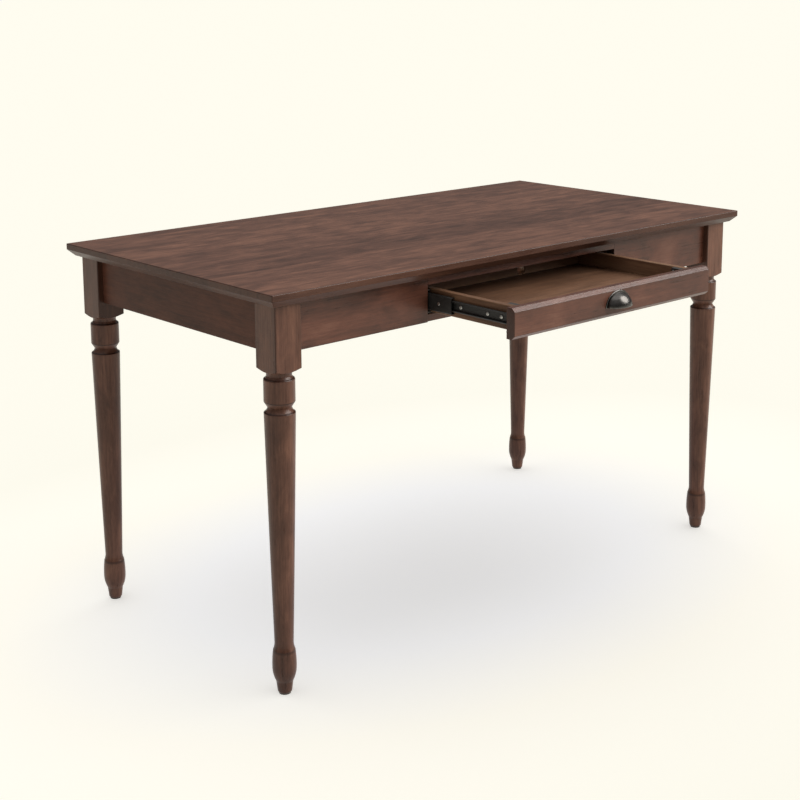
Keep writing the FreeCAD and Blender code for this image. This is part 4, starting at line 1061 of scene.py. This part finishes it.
    def skin(self, centre: Array) -> Skin:
        """One leg about its axis.

        Below the block a row is a circle of the profile's radius. In the block it is the square, cut back
        to a cone over the shoulder that trims its lower corners. Painted shade stays on the two faces that
        the aprons meet.

        Args:
            centre: X and Y of the axis.

        Returns:
            The closed surface.
        """
        profile, angle = self.profile(), self.angles()
        square = self.square(angle)
        rows = np.linspace(0.0, self.shoulder, self.shoulder_rows)
        level = np.concatenate([self.block_bottom + rows, self.block_bottom + np.array(self.rows_up),
                                self.block_top - np.array(self.rows_down)])
        slope = self.block_half * (self.shoulder_reach * math.sqrt(2.0) - 1.0) / self.shoulder
        cone = self.block_half + slope * (level - self.block_bottom)
        block = np.minimum(square, cone[:, None])
        radius = np.concatenate([np.repeat(profile[:, :1], len(angle), axis=1), block])
        height = np.concatenate([profile[:, 1], level])
        ray = np.stack([np.cos(angle), np.sin(angle)], axis=1)
        rise = np.broadcast_to(height[:, None, None], (*radius.shape, 1))
        points = np.concatenate([centre + radius[..., None] * ray, rise], axis=2)
        turn = np.abs(np.mod(angle, np.pi / 2.0) - np.pi / 4.0)
        rub = np.clip(self.rub_reach - self.rub_fall * np.degrees(turn), 0.0, 1.0)
        inward = np.max(-np.sign(centre) * square[:, None] * ray, axis=1)
        # Painted shade on the block's two faces that meet the aprons.
        rub = np.where(inward > self.block_half - self.slack, -self.inner_glaze, rub)
        low = np.repeat(self.crevices(profile)[:, None], len(angle), axis=1)
        high = np.where(block < square - self.cut_slack, np.minimum(rub, self.shoulder_rub), rub)
        return Skin(points, np.concatenate([low, high]))

    def build(self, finishes: Finishes) -> None:
        """Make and finish the four legs, each with its tone and the rise of its tone for each metre up.

        Args:
            finishes: materials of the desk.
        """
        tones = {"front_left": (-0.16, 0.28), "front_right": (0.01, 0.20),
                 "rear_left": (0.0, 0.0), "rear_right": (0.04, 0.0)}
        for corner, (tone, rise) in tones.items():
            low, high = corner_of(f"leg_{corner}")
            skin = self.skin((low + high)[:2] / 2.0)
            piece = make_piece(f"turned_leg_{corner}", [skin], Grain.ALONG_Z, even=False, tone=tone,
                               tone_rise=(0.0, 0.0, rise))
            settle(piece, finishes.leg, Slot.WALNUT, Body.DESK, f"leg_{corner}")


@dataclass
class FrameBoards:
    """Aprons, front panels and rails under the top."""

    rounding: float = 0.9 * MM
    tenon: float = 20 * MM
    rail_tenon: float = 12 * MM
    bite: float = 2 * MM

    def trimmed(self, node: str, grain: Grain, low_trim: float, high_trim: float) -> Skin:
        """Board in the place of a node, without the tenons at its ends.

        Args:
            node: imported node.
            grain: axis that it runs along.
            low_trim: length left off its low end.
            high_trim: length left off its high end.

        Returns:
            The closed surface.
        """
        low, high = corner_of(node)
        along = grain.value[0]
        low[along] += low_trim
        high[along] -= high_trim
        return board(low, high, grain, self.rounding, 0.5 * self.rounding)

    def build(self, finishes: Finishes) -> None:
        """Make and finish the boards, each with its grain, the tenons left off, its finish and its tone.

        Args:
            finishes: materials of the desk.
        """
        hidden, rail = self.tenon - self.bite, self.rail_tenon
        apron, front = finishes.apron, finishes.walnut
        plans = [
            ("apron_rear", Grain.ALONG_X, hidden, hidden, apron, -0.13),
            ("apron_left", Grain.ALONG_Y, hidden, hidden, apron, -0.13),
            ("apron_right", Grain.ALONG_Y, hidden, hidden, apron, -0.13),
            ("front_panel_left", Grain.ALONG_X, hidden, 0.0, front, -0.13),
            ("front_panel_right", Grain.ALONG_X, 0.0, hidden, front, 0.0),
            ("front_upper_rail", Grain.ALONG_X, rail, rail, front, -0.05),
            ("front_lower_rail", Grain.ALONG_X, rail, rail, front, -0.05),
        ]
        for node, grain, low_trim, high_trim, finish, tone in plans:
            skin = self.trimmed(node, grain, low_trim, high_trim)
            piece = make_piece(f"{node}_board", [skin], grain, tone=tone)
            settle(piece, finish, Slot.WALNUT, Body.DESK, node)


@dataclass
class DrawerBox:
    """Drawer sides, back with its cable hole, bottom and the rail under the bottom's front edge."""

    side_round: float = 1.6 * MM
    end_round: float = 0.6 * MM
    panel_round: float = 0.5 * MM
    hole_radius: float = 10 * MM
    hole_x: float = 68 * MM
    hole_z: float = 690 * MM
    hole_round: float = 0.8 * MM
    hole_margin: float = 2.5 * MM
    hole_wear: float = 0.6
    edge_margin: float = 1.5 * MM
    edge_wear: float = 0.8
    rays: int = 48
    # Painted light: the right side is made lighter, for light on its inner face, which turns away from the
    # lamp.
    side_tones: Pair = (-0.15, 0.16)
    back_tone: float = 0.25
    # Painted shade: the bottom and the rail under its front edge get darker towards the back, where the top
    # shades the open drawer; bottom_tone is their tone at Y zero.
    bottom_tone: float = -0.84
    bottom_rise: Triple = (0.0, -2.0, 0.0)

    @staticmethod
    def rim(ray: Array, box: Array, inset: float) -> Array:
        """Points where rays from the hole's middle first meet a rectangle made smaller by an inset."""
        reach = np.where(ray >= 0.0, box[1] - inset, box[0] + inset) / np.where(ray == 0.0, TINY, ray)
        return ray * reach.min(axis=1, keepdims=True)

    def face_rows(self, ray: Array, box: Array, face: float, inward: float) -> list[Row]:
        """Rows over one face of the back, from the hole's wall to the outer edge.

        Args:
            ray: unit directions from the hole's middle.
            box: lowest and highest corner of the face, from the hole's middle.
            face: place of the face along Y.
            inward: sign of the way into the board.

        Returns:
            The rows: place along Y, points from the hole's middle, and wear.
        """
        rows = []
        for turn in QUARTER:
            depth = self.hole_round * (1.0 - math.sin(turn))
            radius = self.hole_radius + self.hole_round * (1.0 - math.cos(turn))
            rows.append((face + inward * depth, ray * radius, self.hole_wear))
        rows.append((face, ray * (self.hole_radius + self.hole_margin), 0.0))
        edge = self.rim(ray, box, self.side_round)
        length = np.linalg.norm(edge, axis=1, keepdims=True)
        rows.append((face, edge * (1.0 - self.edge_margin / length), 0.0))
        for turn in QUARTER[::-1]:
            depth = self.side_round * (1.0 - math.sin(turn))
            inset = self.side_round * (1.0 - math.cos(turn))
            rows.append((face + inward * depth, self.rim(ray, box, inset), self.edge_wear))
        return rows

    def back(self) -> Skin:
        """Back board round its cable hole.

        Columns are rays from the hole's middle, some of them to the board's corners. A row is a circle, or a
        rectangle made smaller by an inset. The rows go from the hole's wall over one face, the outer edge
        and the other face back to the wall.

        Returns:
            The closed surface.
        """
        low, high = corner_of("drawer_back")
        centre = np.array([self.hole_x, self.hole_z])
        box = np.stack([low[[0, 2]], high[[0, 2]]]) - centre
        corners = np.arctan2(box[[0, 0, 1, 1], 1], box[[0, 1, 1, 0], 0])
        even = np.linspace(-np.pi, np.pi, self.rays, endpoint=False)
        angle = np.sort(np.concatenate([even, corners]))
        ray = np.stack([np.cos(angle), np.sin(angle)], axis=1)
        rows = self.face_rows(ray, box, low[1], 1.0) + self.face_rows(ray, box, high[1], -1.0)[::-1]
        flat = np.stack([points for _, points, _ in rows]) + centre
        place = np.array([place for place, _, _ in rows])[:, None]
        points = np.stack([flat[..., 0], np.broadcast_to(place, flat.shape[:2]), flat[..., 1]], axis=-1)
        wear = np.array([wear for _, _, wear in rows])[:, None]
        return Skin(points, np.repeat(wear, len(angle), axis=1), ring=True)

    def build(self, finishes: Finishes) -> None:
        """Make and finish the drawer box.

        Args:
            finishes: materials of the desk.
        """
        wood = finishes.drawer_wood
        # The right side's tone is painted light.
        for side, tone in zip(Side, self.side_tones):
            node = f"drawer_side_{side.label}"
            skin = board(*corner_of(node), Grain.ALONG_Y, self.side_round, self.end_round)
            piece = make_piece(f"{node}_board", [skin], Grain.ALONG_Y, tone=tone)
            settle(piece, wood, Slot.DRAWER_WOOD, Body.DRAWER, node)
        piece = make_piece("drawer_back_board", [self.back()], Grain.ALONG_X, tone=self.back_tone)
        settle(piece, wood, Slot.DRAWER_WOOD, Body.DRAWER, "drawer_back")
        # Painted shade, darker towards the back, on the bottom and its front rail.
        for node in ("drawer_bottom", "drawer_front_rail"):
            skin = board(*corner_of(node), Grain.ALONG_X, self.panel_round)
            piece = make_piece(f"{node}_panel", [skin], Grain.ALONG_X, tone=self.bottom_tone,
                               tone_rise=self.bottom_rise)
            settle(piece, wood, Slot.DRAWER_WOOD, Body.DRAWER, node)


@dataclass
class DropFront:
    """Drop front of the drawer: chamfered along its outer edges, notched for its hinges and strikes."""

    rounding: float = 0.9 * MM
    chamfer_height: float = 7 * MM
    chamfer_depth: float = 7.5 * MM
    notch: float = 9 * MM
    leaf: float = 16 * MM
    leaf_thickness: float = 2 * MM
    hinge_middle: float = 180 * MM
    hinge_reach: float = 25.5 * MM
    strike_thickness: float = 1.5 * MM
    strike_length: float = 12 * MM
    tone: float = -0.08

    def outline(self, hinged: bool = False, struck: bool = False) -> Outline:
        """Cross-section in Y and Z, counter-clockwise from the lower outer edge.

        Args:
            hinged: whether the section goes through a hinge's notch.
            struck: whether it goes through a strike's recess.

        Returns:
            The outline, with as many corners in every case.
        """
        (_, face, bottom), (_, back, top) = corner_of("drawer_front")
        (_, _, plate_low), (_, _, plate_high) = corner_of("catch_strikes")
        leaf_low = bottom + self.notch
        leaf_high = leaf_low + self.leaf
        inner, bed, sunk = back - self.notch, back - self.leaf_thickness, back - self.strike_thickness
        hinge = [(inner, leaf_low), (bed, leaf_low), (bed, leaf_high)]
        plain = [(back, bottom), (back, leaf_low), (back, (leaf_low + leaf_high) / 2.0)]
        third = (plate_high - plate_low) / 3.0
        recess = [(sunk, plate_low), (sunk, plate_high)]
        solid = [(back, plate_low + third), (back, plate_high - third)]
        edge = face + self.chamfer_depth
        corners = [(edge, bottom), (inner, bottom), *(hinge if hinged else plain), (back, leaf_high),
                   (back, plate_low), *(recess if struck else solid), (back, plate_high), (back, top),
                   (edge, top), (face, top - self.chamfer_height), (face, bottom + self.chamfer_height)]
        radii = np.zeros(len(corners))
        radii[[0, -4, -3, -2, -1]] = self.rounding
        return Outline(np.array(corners), radii)

    def build(self, finishes: Finishes) -> None:
        """Make and finish the drop front.

        Args:
            finishes: materials of the desk.
        """
        low, high = corner_of("drawer_front")
        width = corner_of("catch_strikes")[1][0]
        inner = width - self.strike_length
        near, far = self.hinge_middle - self.hinge_reach, self.hinge_middle + self.hinge_reach
        plain, hinged, struck = self.outline(), self.outline(hinged=True), self.outline(struck=True)
        outlines = [plain, struck, plain, hinged, plain, hinged, plain, struck, plain]
        stations = [low[0], -width, -inner, -far, -near, near, far, inner, width, high[0]]
        skin = carried(outlines, stations, Grain.ALONG_X, self.rounding)
        piece = make_piece("drop_front_board", [skin], Grain.ALONG_X, tone=self.tone)
        settle(piece, finishes.walnut, Slot.WALNUT, Body.FRONT, "drawer_front")


@dataclass
class CupPull:
    """Cup pull: a quarter dome with a thin rim, open below, with two posts for its screws."""

    half_width: float = 36 * MM
    height: float = 30.5 * MM
    projection: float = 24 * MM
    rim: float = 3.6 * MM
    rim_thickness: float = 2 * MM
    wall: float = 2 * MM
    post_place: float = 22 * MM
    post_lift: float = 9.5 * MM
    post_radius: float = 3.6 * MM
    post_columns: int = 24
    lip_round: float = 0.5 * MM
    lip_start: float = 1.5
    lip_wear: float = 0.7
    seam_end: float = 0.12
    seam_wear: float = -0.8
    rim_overlap: float = 1.2 * MM
    rim_round: float = 0.9 * MM
    rim_margin: float = 0.4 * MM
    columns: int = 57

    def dome(self, foot: Array) -> Skin:
        """Quarter of an ellipsoid with a wall.

        With a from 0 to half a turn and b from 0 to a quarter, a point is across cos a along X, deep
        sin a sin b towards the sitter and high sin a cos b up. A loop of b goes out over the outer dome,
        round the lip and back over the inner dome.

        Args:
            foot: middle of the pull's lower edge on the drawer front.

        Returns:
            The closed surface.
        """
        across, high = self.half_width - self.rim, self.height - self.rim
        over = np.radians(np.concatenate([np.linspace(0.0, 84.0, 22), [87.0, 89.0, 90.0]]))
        count = len(over)
        angle = np.concatenate([over, [np.pi / 2.0], over[::-1]])
        depth = np.repeat([0.0, self.wall / 2.0, self.wall], [count, 1, count])
        depth[[count - 1, count + 1]] = (self.lip_round, self.wall - self.lip_round)
        run = np.linspace(0.0, np.pi, self.columns)[:, None]
        points = np.stack([foot[0] + (across - depth) * np.cos(run),
                           foot[1] - (self.projection - depth) * np.sin(run) * np.sin(angle),
                           foot[2] + (high - depth) * np.sin(run) * np.cos(angle)], axis=-1)
        wear = np.where(angle > self.lip_start, self.lip_wear, 0.0)
        wear = wear + np.where(angle < self.seam_end, self.seam_wear, 0.0)
        return Skin(points, np.broadcast_to(wear[None], points.shape[:2]).copy())

    def flange(self, foot: Array) -> Skin:
        """Rim on the drawer front: a flat bar with a rounded edge, carried round half an oval.

        Args:
            foot: middle of the pull's lower edge on the drawer front.

        Returns:
            The closed surface.
        """
        across, high = self.half_width - self.rim, self.height - self.rim
        thick = self.rim_thickness
        inner, outer = -self.rim_overlap, self.rim
        bar = Outline([(inner, 0.0), (outer, 0.0), (outer, thick), (inner, thick)],
                      [0.0, 0.0, self.rim_round, 0.0], margin=self.rim_margin)
        offset, rise = bar.columns().T
        run = np.linspace(0.0, np.pi, self.columns)[:, None]
        points = np.stack([foot[0] + (across + offset) * np.cos(run),
                           np.broadcast_to(foot[1] - rise[None], (len(run), len(rise))),
                           foot[2] + (high + offset) * np.sin(run)], axis=-1)
        return Skin(points, np.broadcast_to(bar.wear()[None], points.shape[:2]).copy())

    def post(self, foot: Array, side: Side) -> Skin:
        """Screw post inside the cup.

        A round bar from the drawer front, whose far end follows the ellipsoid through the middle of the
        dome's wall.

        Args:
            foot: middle of the pull's lower edge on the drawer front.
            side: side of the pull.

        Returns:
            The closed surface.
        """
        inset = self.rim + self.wall / 2.0
        across, high = self.half_width - inset, self.height - inset
        deep = self.projection - self.wall / 2.0
        angle = np.linspace(0.0, 2.0 * np.pi, self.post_columns, endpoint=False)[None]
        radius = self.post_radius * np.array([0.0, 1.0, 1.0, 0.0])[:, None]
        along = side.value * self.post_place + radius * np.cos(angle)
        rise = self.post_lift + radius * np.sin(angle)
        reach = deep * np.sqrt(1.0 - (along / across) ** 2 - (rise / high) ** 2)
        reach = reach * np.array([0.0, 0.0, 1.0, 1.0])[:, None]
        points = foot + np.stack([along, -reach, rise], axis=-1)
        return Skin(points, np.zeros(points.shape[:2]))

    def build(self, finishes: Finishes) -> None:
        """Make and finish the pull.

        Args:
            finishes: materials of the desk.
        """
        low, high = corner_of("cup_pull")
        foot = np.array([(low[0] + high[0]) / 2.0, high[1], low[2]])
        skins = [self.dome(foot), self.flange(foot)] + [self.post(foot, side) for side in Side]
        piece = make_piece("cup_pull_shell", skins, Grain.ALONG_X, crease=50.0, even=False)
        settle(piece, finishes.pewter, Slot.PEWTER, Body.FRONT, "cup_pull")


@dataclass
class Slides:
    """Members of the two telescopic slides: rolled channels with turned-in lips.

    The bends are the roundings, in millimetres, of a member's upper half from the web's outer corner
    round the lip to the web's inner corner.
    """

    wall: float = 1.2 * MM
    lip: float = 1.3 * MM
    bends: tuple[float, ...] = (1.6, 1.3, 0.4, 0.3, 0.3, 0.5)
    bend_margin: float = 0.15 * MM
    bend_steps: int = 5
    rivet_radius: float = 3.4 * MM
    rivet_height: float = 0.45 * MM
    rivet_setback: float = 34 * MM
    rivet_columns: int = 28

    def member(self, node: str, side: Side, opens_inwards: bool) -> Skin:
        """Channel in the place of a node.

        Args:
            node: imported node.
            side: side of the desk.
            opens_inwards: whether its open side faces the middle of the desk.

        Returns:
            The closed surface.
        """
        low, high = corner_of(node)
        inner, outer = side.faces(node)
        web, edge = (outer, inner) if opens_inwards else (inner, outer)
        wall = math.copysign(self.wall, edge - web)
        middle, half = (low[2] + high[2]) / 2.0, (high[2] - low[2]) / 2.0
        inside = half - self.wall
        lip = inside - self.lip
        upper = np.array([(web, half), (edge, half), (edge, lip), (edge - wall, lip),
                          (edge - wall, inside), (web + wall, inside)])
        corners = np.concatenate([upper, upper[::-1] * (1.0, -1.0)]) + (0.0, middle)
        rounds = np.array([*self.bends, *self.bends[::-1]]) * MM
        if edge > web:
            corners, rounds = corners[::-1], rounds[::-1]
        outline = Outline(corners, rounds, margin=self.bend_margin, steps=self.bend_steps)
        return carried([outline], [low[1], high[1]], Grain.ALONG_Y, 0.0)

    def rivet(self, node: str, side: Side) -> Skin:
        """Low domed rivet near the front end of a middle member, on its outer face.

        The dome is a quarter of an ellipse, turned about the rivet's axis.

        Args:
            node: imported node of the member.
            side: side of the desk.

        Returns:
            The closed surface.
        """
        low, high = corner_of(node)
        foot = np.array([side.faces(node)[1], low[1] + self.rivet_setback, (low[2] + high[2]) / 2.0])
        turn = np.radians(np.linspace(0.0, 90.0, 7))
        dome = np.stack([self.rivet_radius * np.cos(turn), self.rivet_height * np.sin(turn)], axis=1)
        profile = np.concatenate([[(0.0, -SEATING), (self.rivet_radius, -SEATING)], dome])
        return turned(profile, foot, side.outward, self.rivet_columns)

    def build(self, finishes: Finishes) -> None:
        """Make and finish the slide members and their rivets.

        Args:
            finishes: materials of the desk.
        """
        for side in Side:
            middle = Body.MIDDLE_LEFT if side is Side.LEFT else Body.MIDDLE_RIGHT
            for kind, body, inwards in (("cabinet", Body.DESK, True), ("middle", middle, True),
                                        ("drawer", Body.DRAWER, False)):
                node = f"slide_{kind}_{side.label}"
                skin = self.member(node, side, inwards)
                piece = make_piece(f"{kind}_slide_{side.label}", [skin], Grain.ALONG_Y)
                settle(piece, finishes.black_steel, Slot.BLACK_STEEL, body, node)
            skin = self.rivet(f"slide_middle_{side.label}", side)
            piece = make_piece(f"slide_rivet_{side.label}", [skin], Grain.ALONG_Y, even=False)
            settle(piece, finishes.zinc, Slot.ZINC, middle)


@dataclass
class ScrewHeads:
    """Screw heads with a crossed recess.

    Slot, reach and bevel of the recess are shares of a head's radius, and the rings are where its rows lie.
    A size is a head's radius and height. The steps, in millimetres, are the screws' places back from the
    front end of a slide member, and forward from the rear end of a catch.
    """

    slot: float = 0.16
    reach: float = 0.62
    bevel: float = 0.05
    depth: float = 0.9 * MM
    deepest: float = 0.8
    dome: float = 0.35
    rings: tuple[float, ...] = (TINY, 0.08, 0.15, 0.19, 0.30, 0.42, 0.54,
                                0.60, 0.65, 0.75, 0.85, 0.93, 0.98, 1.0)
    columns: int = 72
    pan_size: Pair = (3.6 * MM, 2 * MM)
    catch_size: Pair = (2.7 * MM, 1.4 * MM)
    slide_wall: float = 1.2 * MM
    slide_steps: tuple[float, ...] = (30.0, 65.0, 135.0, 256.0)
    catch_steps: tuple[float, ...] = (4.5, 13.5)

    def head(self, x: float, y: float, z: float, axis: Array, size: Pair) -> Skin:
        """One head over its seat.

        The rows go out from the middle. Height is a low dome, 1 less a share of the fourth power of the
        radius, less the depth of the recess where a point is within the slot's half width of either arm and
        short of the arms' reach. The last rows run down the side and close under the head.

        Args:
            x: X of the middle of the seat.
            y: its Y.
            z: its Z.
            axis: direction that the head stands up in.
            size: radius and height of the head.

        Returns:
            The closed surface.
        """
        radius, height = size
        share = np.array(self.rings)[:, None]
        angle = np.linspace(0.0, 2.0 * np.pi, self.columns, endpoint=False)[None]
        arm = share * np.minimum(np.abs(np.cos(angle)), np.abs(np.sin(angle)))
        beside = np.clip((self.slot - arm) / self.bevel, 0.0, 1.0)
        before = np.clip((self.reach - share) / self.bevel, 0.0, 1.0)
        sunk = beside * before * min(self.depth, self.deepest * height)
        top = height * (1.0 - self.dome * share ** 4) - sunk
        rise = np.concatenate([top, np.full((2, angle.size), -SEATING)])
        spread = radius * np.array([*self.rings, 1.0, TINY])[:, None]
        first, second = square_to(axis)
        across, up = (spread * np.cos(angle))[..., None], (spread * np.sin(angle))[..., None]
        points = np.array([x, y, z]) + across * first + up * second + rise[..., None] * axis
        return Skin(points, np.zeros(points.shape[:2]))

    def build(self, finishes: Finishes) -> None:
        """Make and finish the screw heads of the drawer, its pull and its catches.

        Args:
            finishes: materials of the desk.
        """
        slide, pull, catch = [], [], []
        slide_low, slide_high = corner_of("drawer_slide_screws")
        pull_low, pull_high = corner_of("pull_screws")
        behind = corner_of("drawer_front")[1][1]
        for side in Side:
            node = f"slide_drawer_{side.label}"
            web = side.faces(node)[0] + side.value * self.slide_wall
            front, level = corner_of(node)[0][1], (slide_low[2] + slide_high[2]) / 2.0
            slide += [self.head(web, front + step * MM, level, side.outward, self.pan_size)
                      for step in self.slide_steps]
            place, level = side.value * (pull_high[0] - self.pan_size[0]), (pull_low[2] + pull_high[2]) / 2.0
            pull.append(self.head(place, behind, level, np.array([0.0, 1.0, 0.0]), self.pan_size))
            node = f"catch_{side.label}"
            low, high = corner_of(node)
            face, level = side.faces(node)[0], (low[2] + high[2]) / 2.0
            catch += [self.head(face, high[1] - step * MM, level, -side.outward, self.catch_size)
                      for step in self.catch_steps]
        for name, heads, grain, body, node in (
                ("drawer_slide_screw_heads", slide, Grain.ALONG_Y, Body.DRAWER, "drawer_slide_screws"),
                ("pull_screw_heads", pull, Grain.ALONG_X, Body.FRONT, "pull_screws"),
                ("catch_screw_heads", catch, Grain.ALONG_Y, Body.DRAWER, "catch_screws")):
            settle(make_piece(name, heads, grain, even=False), finishes.zinc, Slot.ZINC, body, node)


@dataclass
class KeptSolids:
    """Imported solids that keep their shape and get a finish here."""

    frame_wood: tuple[tuple[str, Grain], ...] = (
        ("runner_left", Grain.ALONG_Y), ("runner_right", Grain.ALONG_Y),
        ("corner_brace_front_left", Grain.ALONG_X), ("corner_brace_front_right", Grain.ALONG_X),
        ("corner_brace_rear_left", Grain.ALONG_X), ("corner_brace_rear_right", Grain.ALONG_X),
        ("top_buttons", Grain.ALONG_Y),
    )
    zinc: tuple[str, ...] = (
        "corner_bolts", "corner_washers", "corner_nuts", "button_screws", "cabinet_slide_screws",
        "ball_cage_outer_left", "ball_cage_outer_right", "ball_cage_inner_left", "ball_cage_inner_right",
        "hinge_fixed_leaf_left", "hinge_fixed_leaf_right", "hinge_moving_leaf_left",
        "hinge_moving_leaf_right", "hinge_pins", "hinge_drawer_screws", "hinge_front_screws",
        "catch_magnets", "catch_strikes",
    )
    catch: tuple[str, ...] = ("catch_left", "catch_right")
    glide: tuple[str, ...] = ("foot_glides",)
    rubber: tuple[str, ...] = ("bumper_pads",)

    def dress(self, finishes: Finishes) -> None:
        """Put a finish on each kept solid.

        Args:
            finishes: materials of the desk.
        """
        plan = [(node, finishes.frame_wood[grain]) for node, grain in self.frame_wood]
        for nodes, finish in ((self.zinc, finishes.zinc), (self.catch, finishes.catch),
                              (self.glide, finishes.glide), (self.rubber, finishes.rubber)):
            plan += [(node, finish) for node in nodes]
        for node, finish in plan:
            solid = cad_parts[node]
            solid.data.materials.clear()
            solid.data.materials.append(finish)
            LOG.info("%s: keeps its solid, finish %s", node, finish.name)


# The studio


@dataclass
class Studio:
    """Pale floor, soft light and the camera at the photograph's angle.

    The place and axes of the camera are in the desk's frame. A light's spread is the angle in degrees that
    it fills.
    """

    focal_pixels: float = 1509.6
    image_pixels: float = 800.0
    axis_pixel: Pair = (406.6, 253.7)
    place: Triple = (-2.1916, -2.3476, 1.3112)
    right: Triple = (0.737753, -0.675066, -0.002508)
    up: Triple = (0.127825, 0.136045, 0.982422)
    back: Triple = (-0.662858, -0.725105, 0.186658)
    sensor: float = 36.0
    far_clip: float = 400.0
    floor_half: float = 90.0
    # Painted light: floor_near and floor_cream are lighter than floor_far, to lift the floor round the desk.
    floor_near: Colour = (0.716, 0.720, 0.724)
    floor_cream: Colour = (0.722, 0.705, 0.640)
    floor_far: Colour = (0.668, 0.656, 0.587)
    floor_reach: Pair = (1.3, 0.6)
    floor_places: Triple = (0.25, 0.43, 0.72)
    floor_glow: float = 0.735
    softbox: Triple = (0.620, -0.530, 0.575)
    softbox_strength: float = 3.6
    softbox_spread: float = 44.0
    softbox_colour: Colour = (1.0, 0.98, 0.95)
    top_light: Triple = (0.15, 0.05, 1.0)
    top_strength: float = 1.0
    top_spread: float = 70.0
    top_colour: Colour = (1.0, 0.99, 0.98)
    sky_low: float = 0.05
    sky_high: float = 0.60
    sky_colour: Colour = (1.0, 0.99, 0.975)
    backdrop: Colour = (0.982, 0.965, 0.856)

    def camera(self) -> None:
        """Make the camera from the fitted place, axes, focal length and optical axis."""
        data = bpy.data.cameras.new("camera")
        data.sensor_width = self.sensor
        data.lens = self.focal_pixels / self.image_pixels * data.sensor_width
        data.shift_x = 0.5 - self.axis_pixel[0] / self.image_pixels
        data.shift_y = self.axis_pixel[1] / self.image_pixels - 0.5
        data.clip_end = self.far_clip
        camera = bpy.data.objects.new("camera", data)
        turn = Matrix((self.right, self.up, self.back)).transposed().to_4x4()
        camera.matrix_world = Matrix.Translation(self.place) @ turn
        bpy.context.scene.collection.objects.link(camera)
        bpy.context.scene.camera = camera

    def floor(self) -> bpy.types.Object:
        """Make the floor: one large level sheet of a pale matt colour, lit a little from below.

        The colour goes from grey under the desk to cream with half the length of x and y, each over the
        square root of its reach. The grey and the near cream are lighter than the far cream: painted light
        that lifts the floor where the desk's shade falls.

        Returns:
            The floor.
        """
        mesh = bpy.data.meshes.new("floor")
        corner = np.array([(-1.0, -1.0, 0.0), (1.0, -1.0, 0.0), (1.0, 1.0, 0.0), (-1.0, 1.0, 0.0)])
        mesh.from_pydata((corner * self.floor_half).tolist(), [], [(0, 1, 2, 3)])
        floor = bpy.data.objects.new("floor", mesh)
        bpy.context.scene.collection.objects.link(floor)
        bench = Bench.material("pale_floor")
        across, away, _ = bench.split(bench.add("TexCoord").outputs["Object"])
        wide, deep = self.floor_reach
        spread = bench.maths("POWER", across * across / wide + away * away / deep, 0.5)
        colours = (self.floor_near, self.floor_cream, self.floor_far)
        colour = bench.ramp(spread * 0.5, self.floor_places, colours)
        matt = {"Base Color": colour, "Roughness": 0.9, "Specular IOR Level": 0.0}
        glow = {"Emission Color": colour, "Emission Strength": self.floor_glow}
        mesh.materials.append(bench.finish({**matt, **glow}))
        return floor

    def sun(self, name: str, direction: Triple, strength: float, spread: float,
            colour: Colour) -> bpy.types.Object:
        """Add a soft, distant light.

        Args:
            name: name of the light.
            direction: direction from the desk towards the light.
            strength: irradiance.
            spread: angle in degrees that it fills.
            colour: its colour.

        Returns:
            The light.
        """
        data = bpy.data.lights.new(name, "SUN")
        data.energy = strength
        data.angle = math.radians(spread)
        data.color = colour
        light = bpy.data.objects.new(name, data)
        towards = np.array(direction) / np.linalg.norm(direction)
        side = np.cross((0.0, 0.0, 1.0), towards)
        side = side / np.linalg.norm(side)
        upper = np.cross(towards, side)
        light.matrix_world = Matrix((side, upper, towards)).transposed().to_4x4()
        bpy.context.scene.collection.objects.link(light)
        return light

    def sky(self) -> None:
        """Light the scene from all round: dim at the horizon, bright overhead, plain cream to the camera."""
        world = bpy.data.worlds.new("studio")
        bpy.context.scene.world = world
        bench = Bench(world)
        _, _, rise = bench.split(bench.add("TexCoord").outputs["Generated"])
        dome = self.sky_low + rise.above(0.0, 1.0) * self.sky_high
        lit = bench.add("Background", None, {"Color": opaque(self.sky_colour), "Strength": dome})
        seen = bench.add("Background", None, {"Color": opaque(self.backdrop), "Strength": 1.0})
        camera_ray = bench.add("LightPath").outputs["Is Camera Ray"]
        both = bench.add("MixShader", None, {0: camera_ray, 1: lit.outputs[0], 2: seen.outputs[0]})
        bench.add("OutputWorld", None, {"Surface": both.outputs[0]})

    def build(self) -> None:
        """Set up camera, floor and lights. The softbox lights the desk and not the floor."""
        self.camera()
        floor = self.floor()
        self.sky()
        softbox = self.sun("softbox", self.softbox, self.softbox_strength, self.softbox_spread,
                           self.softbox_colour)
        unlit = bpy.data.collections.new("not_lit_by_softbox")
        unlit.objects.link(floor)
        unlit.collection_objects[0].light_linking.link_state = "EXCLUDE"
        softbox.light_linking.receiver_collection = unlit
        self.sun("top_light", self.top_light, self.top_strength, self.top_spread, self.top_colour)
        bpy.context.scene.view_settings.view_transform = "Standard"


def main() -> None:
    """Build every sub-assembly, dress the kept solids and set the studio."""
    logging.basicConfig(level=logging.INFO, format="%(name)s: %(message)s")
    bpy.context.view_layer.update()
    finishes = Finishes()
    for assembly in (DeskTop(), TurnedLegs(), FrameBoards(), DrawerBox(), DropFront(), CupPull(), Slides(),
                     ScrewHeads()):
        assembly.build(finishes)
    KeptSolids().dress(finishes)
    Studio().build()


if __name__ == "__main__":
    main()
